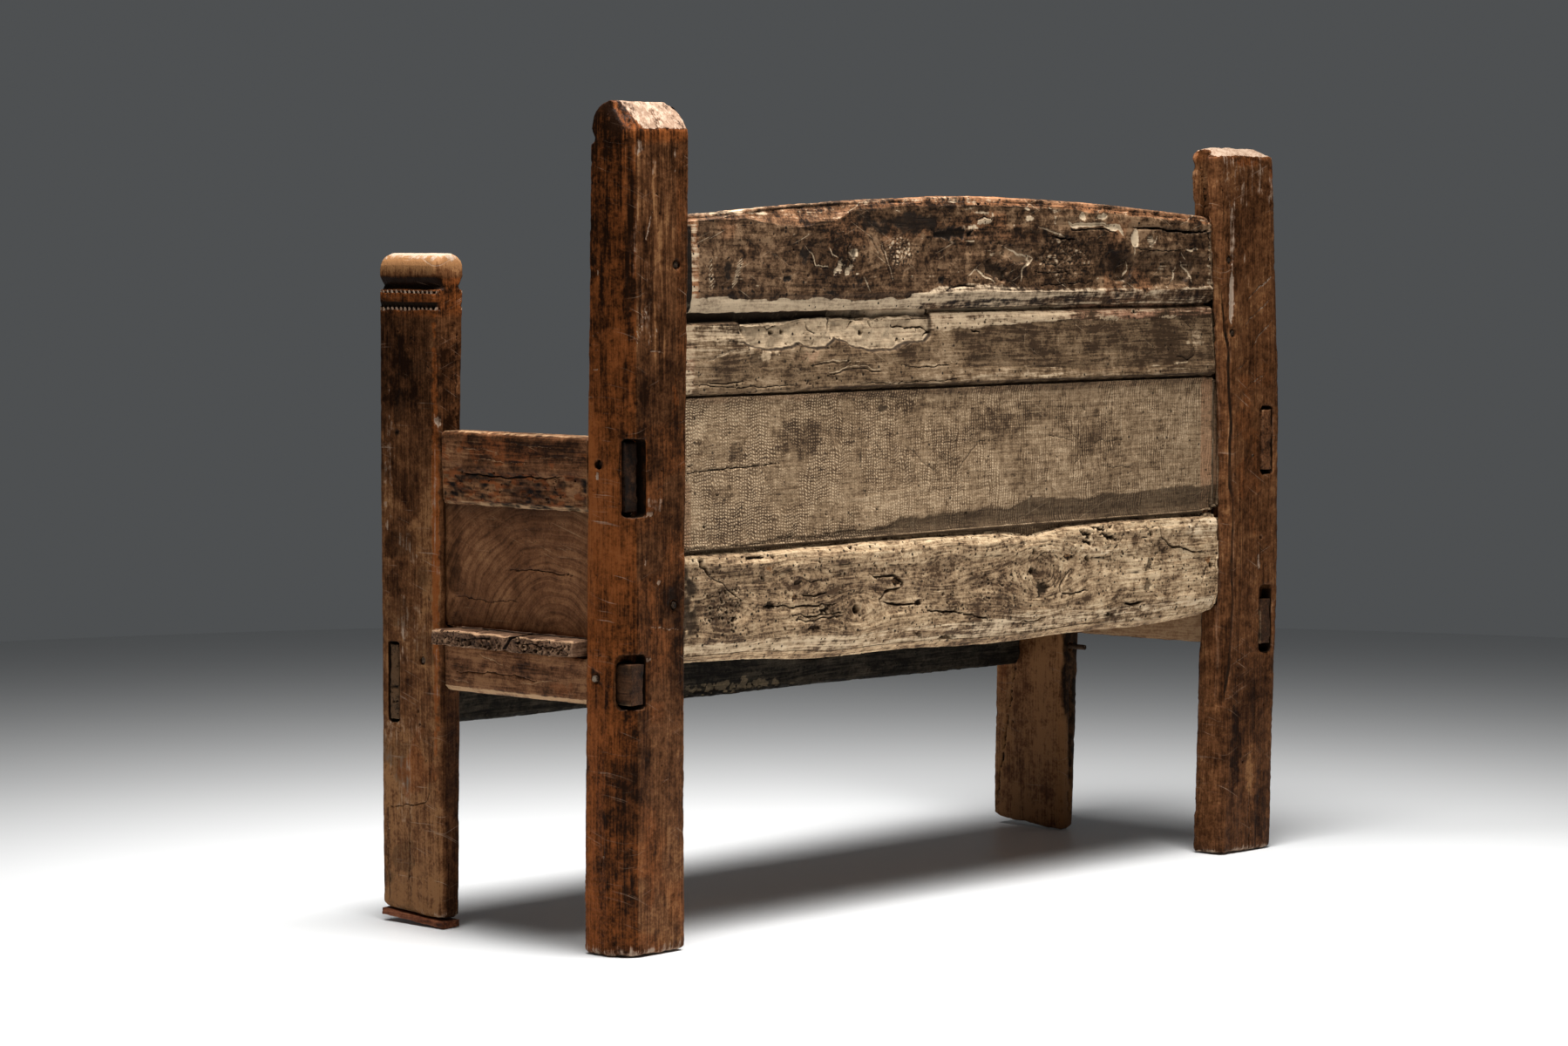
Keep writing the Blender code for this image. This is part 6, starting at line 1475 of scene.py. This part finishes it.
def make_seat_rails():
    for end, side, voxel, seed in (("right", 1, 0.0026, 27), ("left", -1, 0.0034, 29)):
        marks = [
            patch(end, (-0.08, 0.38), (0.03, 0.02), shade=-0.25, ragged=0.6),
            patch(end, (0.06, 0.385), (0.05, 0.012), shade=-0.25, ragged=0.6),
            patch(end, (0.12, 0.365), (0.05, 0.012), warm=0.6, ragged=0.6),
            crack(end, ((-0.09, 0.372), (0.0, 0.376), (0.08, 0.371)), 0.0016, 0.002),
            *[scratch(end, ((y0, z0), (y1, z1)), 0.0014, 0.0005, 0.7) for y0, z0, y1, z1 in (
                (-0.05, 0.40, 0.02, 0.386), (0.03, 0.362, 0.12, 0.374), (-0.10, 0.36, -0.06, 0.357))],
        ]
        timber = Timber(f"seat_rail_{end}", voxel, 1, seed, marks, pith=(side * 0.70, 0.30))
        timber.hew(0.0012, 0.0005, 0.0014)
        z = timber.at[:, 2]
        low = z.min()
        timber.tint("pale", 0.65 * smooth(low + 0.011, low + 0.006, z) * smooth(0.15, 0.5, side * timber.out[:, 0]))
        timber.tint("grime", 0.68 * (timber.at[:, 1] > 0.195))
        timber.shade += 0.14 * timber.faces(end)
        inner = smooth(0.3, 0.7, -side * timber.out[:, 0])
        timber.tint("pale", 0.8 * inner * smooth(0.392, 0.380, z + 0.004 * noise(timber.at, 0.03, seed, 2)))
        timber.finish(FINISHES["waxed_rail"], "waxed_rail")


def make_front_rail():
    marks = [
        patch("rear", (0.06, 0.290), (0.11, 0.010), 0.003, pale=0.7, ragged=0.9),
        patch("rear", (0.45, 0.32), (0.10, 0.02), shade=-0.2, ragged=0.6),
        crack("rear", ((0.60, 0.34), (0.45, 0.345), (0.30, 0.338)), 0.004, 0.005),
        crack("rear", ((-0.10, 0.32), (-0.30, 0.325), (-0.5, 0.318)), 0.004, 0.005),
        crack("right", ((-0.23, 0.34), (-0.20, 0.342)), 0.003, 0.004),
        *worm_holes("right", (-0.228, 0.30), (-0.208, 0.40), 24, (0.0008, 0.0018), 81),
    ]
    timber = Timber("front_seat_rail", 0.0040, 0, 31, marks, pith=(-0.30, 0.25))
    timber.hew(0.0030, 0.0012, 0.0030)
    timber.shade -= 0.10
    timber.tint("warm", 1.0 * (timber.at[:, 0] > 0.70))
    timber.shade += 0.45 * (timber.at[:, 0] > 0.70)
    timber.finish(FINISHES["dark_rail"], "dark_rail")


def make_seat_planks():
    for plank, low, high, voxel, seed in (
            ("front", -0.105, 0.03, 0.0042, 33), ("rear", 0.06, 0.17, 0.0034, 35)):
        marks = [
            *worm_holes("right", (low, 0.413), (high, 0.428), 60, (0.0010, 0.0030), seed + 50),
            *worm_holes("left", (low, 0.413), (high, 0.428), 24, (0.0010, 0.0024), seed + 51),
            crack("right", ((low, 0.426), ((low + high) / 2, 0.4235), (high, 0.427)), 0.0020, 0.003),
            crack("top", ((0.76, (low + high) / 2), (0.62, (low + high) / 2 + 0.01)), 0.003, 0.005),
            crack("top", ((-0.76, high - 0.03), (-0.58, high - 0.025)), 0.003, 0.005),
        ]
        timber = Timber(f"seat_plank_{plank}", voxel, 0, seed, marks, pith=((low + high) / 2, 0.36))
        timber.hew(0.0014, 0.0006, 0.0020)
        ends = smooth(0.5, 0.9, np.abs(timber.out[:, 0]))
        timber.cut += ends * (0.0012 + 0.0012 * noise(timber.at, 0.008, seed + 4, 3))
        timber.tint("grime", ends * 0.45 * smooth(-0.3, 0.4, noise(timber.at, 0.010, seed + 5, 2)))
        rim = smooth(0.430, 0.434, timber.at[:, 2]) * smooth(0.745, 0.758, np.abs(timber.at[:, 0]))
        timber.cut += rim * 0.0025 * smooth(0.0, 0.6, noise(timber.at, 0.018, seed + 6, 2))
        timber.tint("pale", 0.7 * rim)
        timber.tint("warm", 0.5 * rim)
        timber.tint("grime", 0.9 * smooth(0.5, 0.8, np.abs(timber.out[:, 1])) * (np.abs(timber.at[:, 1] - 0.045) < 0.03))
        timber.finish(FINISHES["worn_seat"], "worn_seat")


def make_small_pieces():
    shim = Timber("foot_shim", 0.0014, 1, 37)
    shim.hew(0.0005, 0.0003, 0.0010)
    shim.finish(FINISHES["fresh_shim"], "fresh_shim")
    for number, node in enumerate(sorted(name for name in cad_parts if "_peg_" in name)):
        low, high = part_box(node)
        along = int(np.argmax(np.array(high) - np.array(low)))
        timber = Timber(node, 0.0011, along, 41 + number)
        timber.hew(0.0006, 0.0003, 0.0006)
        ends = smooth(0.6, 0.95, np.abs(timber.out[:, along]))
        timber.cut += ends * 0.0012 * np.abs(noise(timber.at, 0.004, 43 + number, 2))
        if node == "seat_rail_rear_peg_right":
            timber.tint("pale", 0.7 * ends)
        timber.finish(FINISHES["peg"], "peg")


make_rear_post_right()
make_rear_post_left()
make_front_post_right()
make_front_post_left()
make_crest()
make_upper_rail()
make_panel()
make_lower_rail()
make_arm_rails()
make_side_panels()
make_seat_rails()
make_front_rail()
make_seat_planks()
make_small_pieces()


# Studio: a pale round floor, one soft light overhead and the photographer's camera
FLOOR_RADIUS = 4.3


def studio_floor():
    bm = bmesh.new()
    bmesh.ops.create_circle(bm, cap_ends=True, segments=128, radius=FLOOR_RADIUS)
    bmesh.ops.translate(bm, vec=(0.0, 0.0, -0.0005), verts=bm.verts)
    mesh = bpy.data.meshes.new("studio_floor")
    bm.to_mesh(mesh)
    bm.free()
    floor = bpy.data.objects.new("studio_floor", mesh)
    bpy.context.scene.collection.objects.link(floor)
    paper = Finish("studio_paper")
    cloud = paper.noise(paper.place(), (1.4, 1.4, 1.4), 2.0)
    paper.feed(paper.shader.inputs["Base Color"], paper.mix(cloud, (0.80, 0.80, 0.80), (0.84, 0.84, 0.83)))
    paper.shader.inputs["Roughness"].default_value = 0.35
    paper.shader.inputs["Specular IOR Level"].default_value = 0.3
    mesh.materials.append(paper.material)


def soft_light(name, place, target, size, watts, spread):
    light = bpy.data.lights.new(name, "AREA")
    light.shape = "RECTANGLE"
    light.size, light.size_y = size
    light.energy = watts
    light.spread = math.radians(spread)
    lamp = bpy.data.objects.new(name, light)
    bpy.context.scene.collection.objects.link(lamp)
    lamp.location = place
    lamp.rotation_euler = (Vector(target) - Vector(place)).to_track_quat("-Z", "Y").to_euler()


def photographers_camera():
    turn, dip = math.radians(43.2416), math.radians(3.9557)
    forward = Vector((-math.cos(turn) * math.cos(dip), -math.sin(turn) * math.cos(dip), -math.sin(dip)))
    data = bpy.data.cameras.new("camera")
    data.lens = 97.72
    data.sensor_width = 36.0
    camera = bpy.data.objects.new("camera", data)
    bpy.context.scene.collection.objects.link(camera)
    camera.location = (4.7975, 4.3725, 0.99994)
    camera.rotation_euler = forward.to_track_quat("-Z", "Y").to_euler()
    bpy.context.scene.camera = camera


studio_floor()
soft_light("overhead_softbox", (0.42, 0.45, 2.7), (0.3, 0.3, 0.0), (2.0, 1.3), 91.0, 112.0)
photographers_camera()

world = bpy.data.worlds.new("studio_dusk")
world.use_nodes = True
world.node_tree.nodes["Background"].inputs["Color"].default_value = (0.076, 0.080, 0.083, 1.0)
bpy.context.scene.world = world
bpy.context.scene.view_settings.view_transform = "Standard"
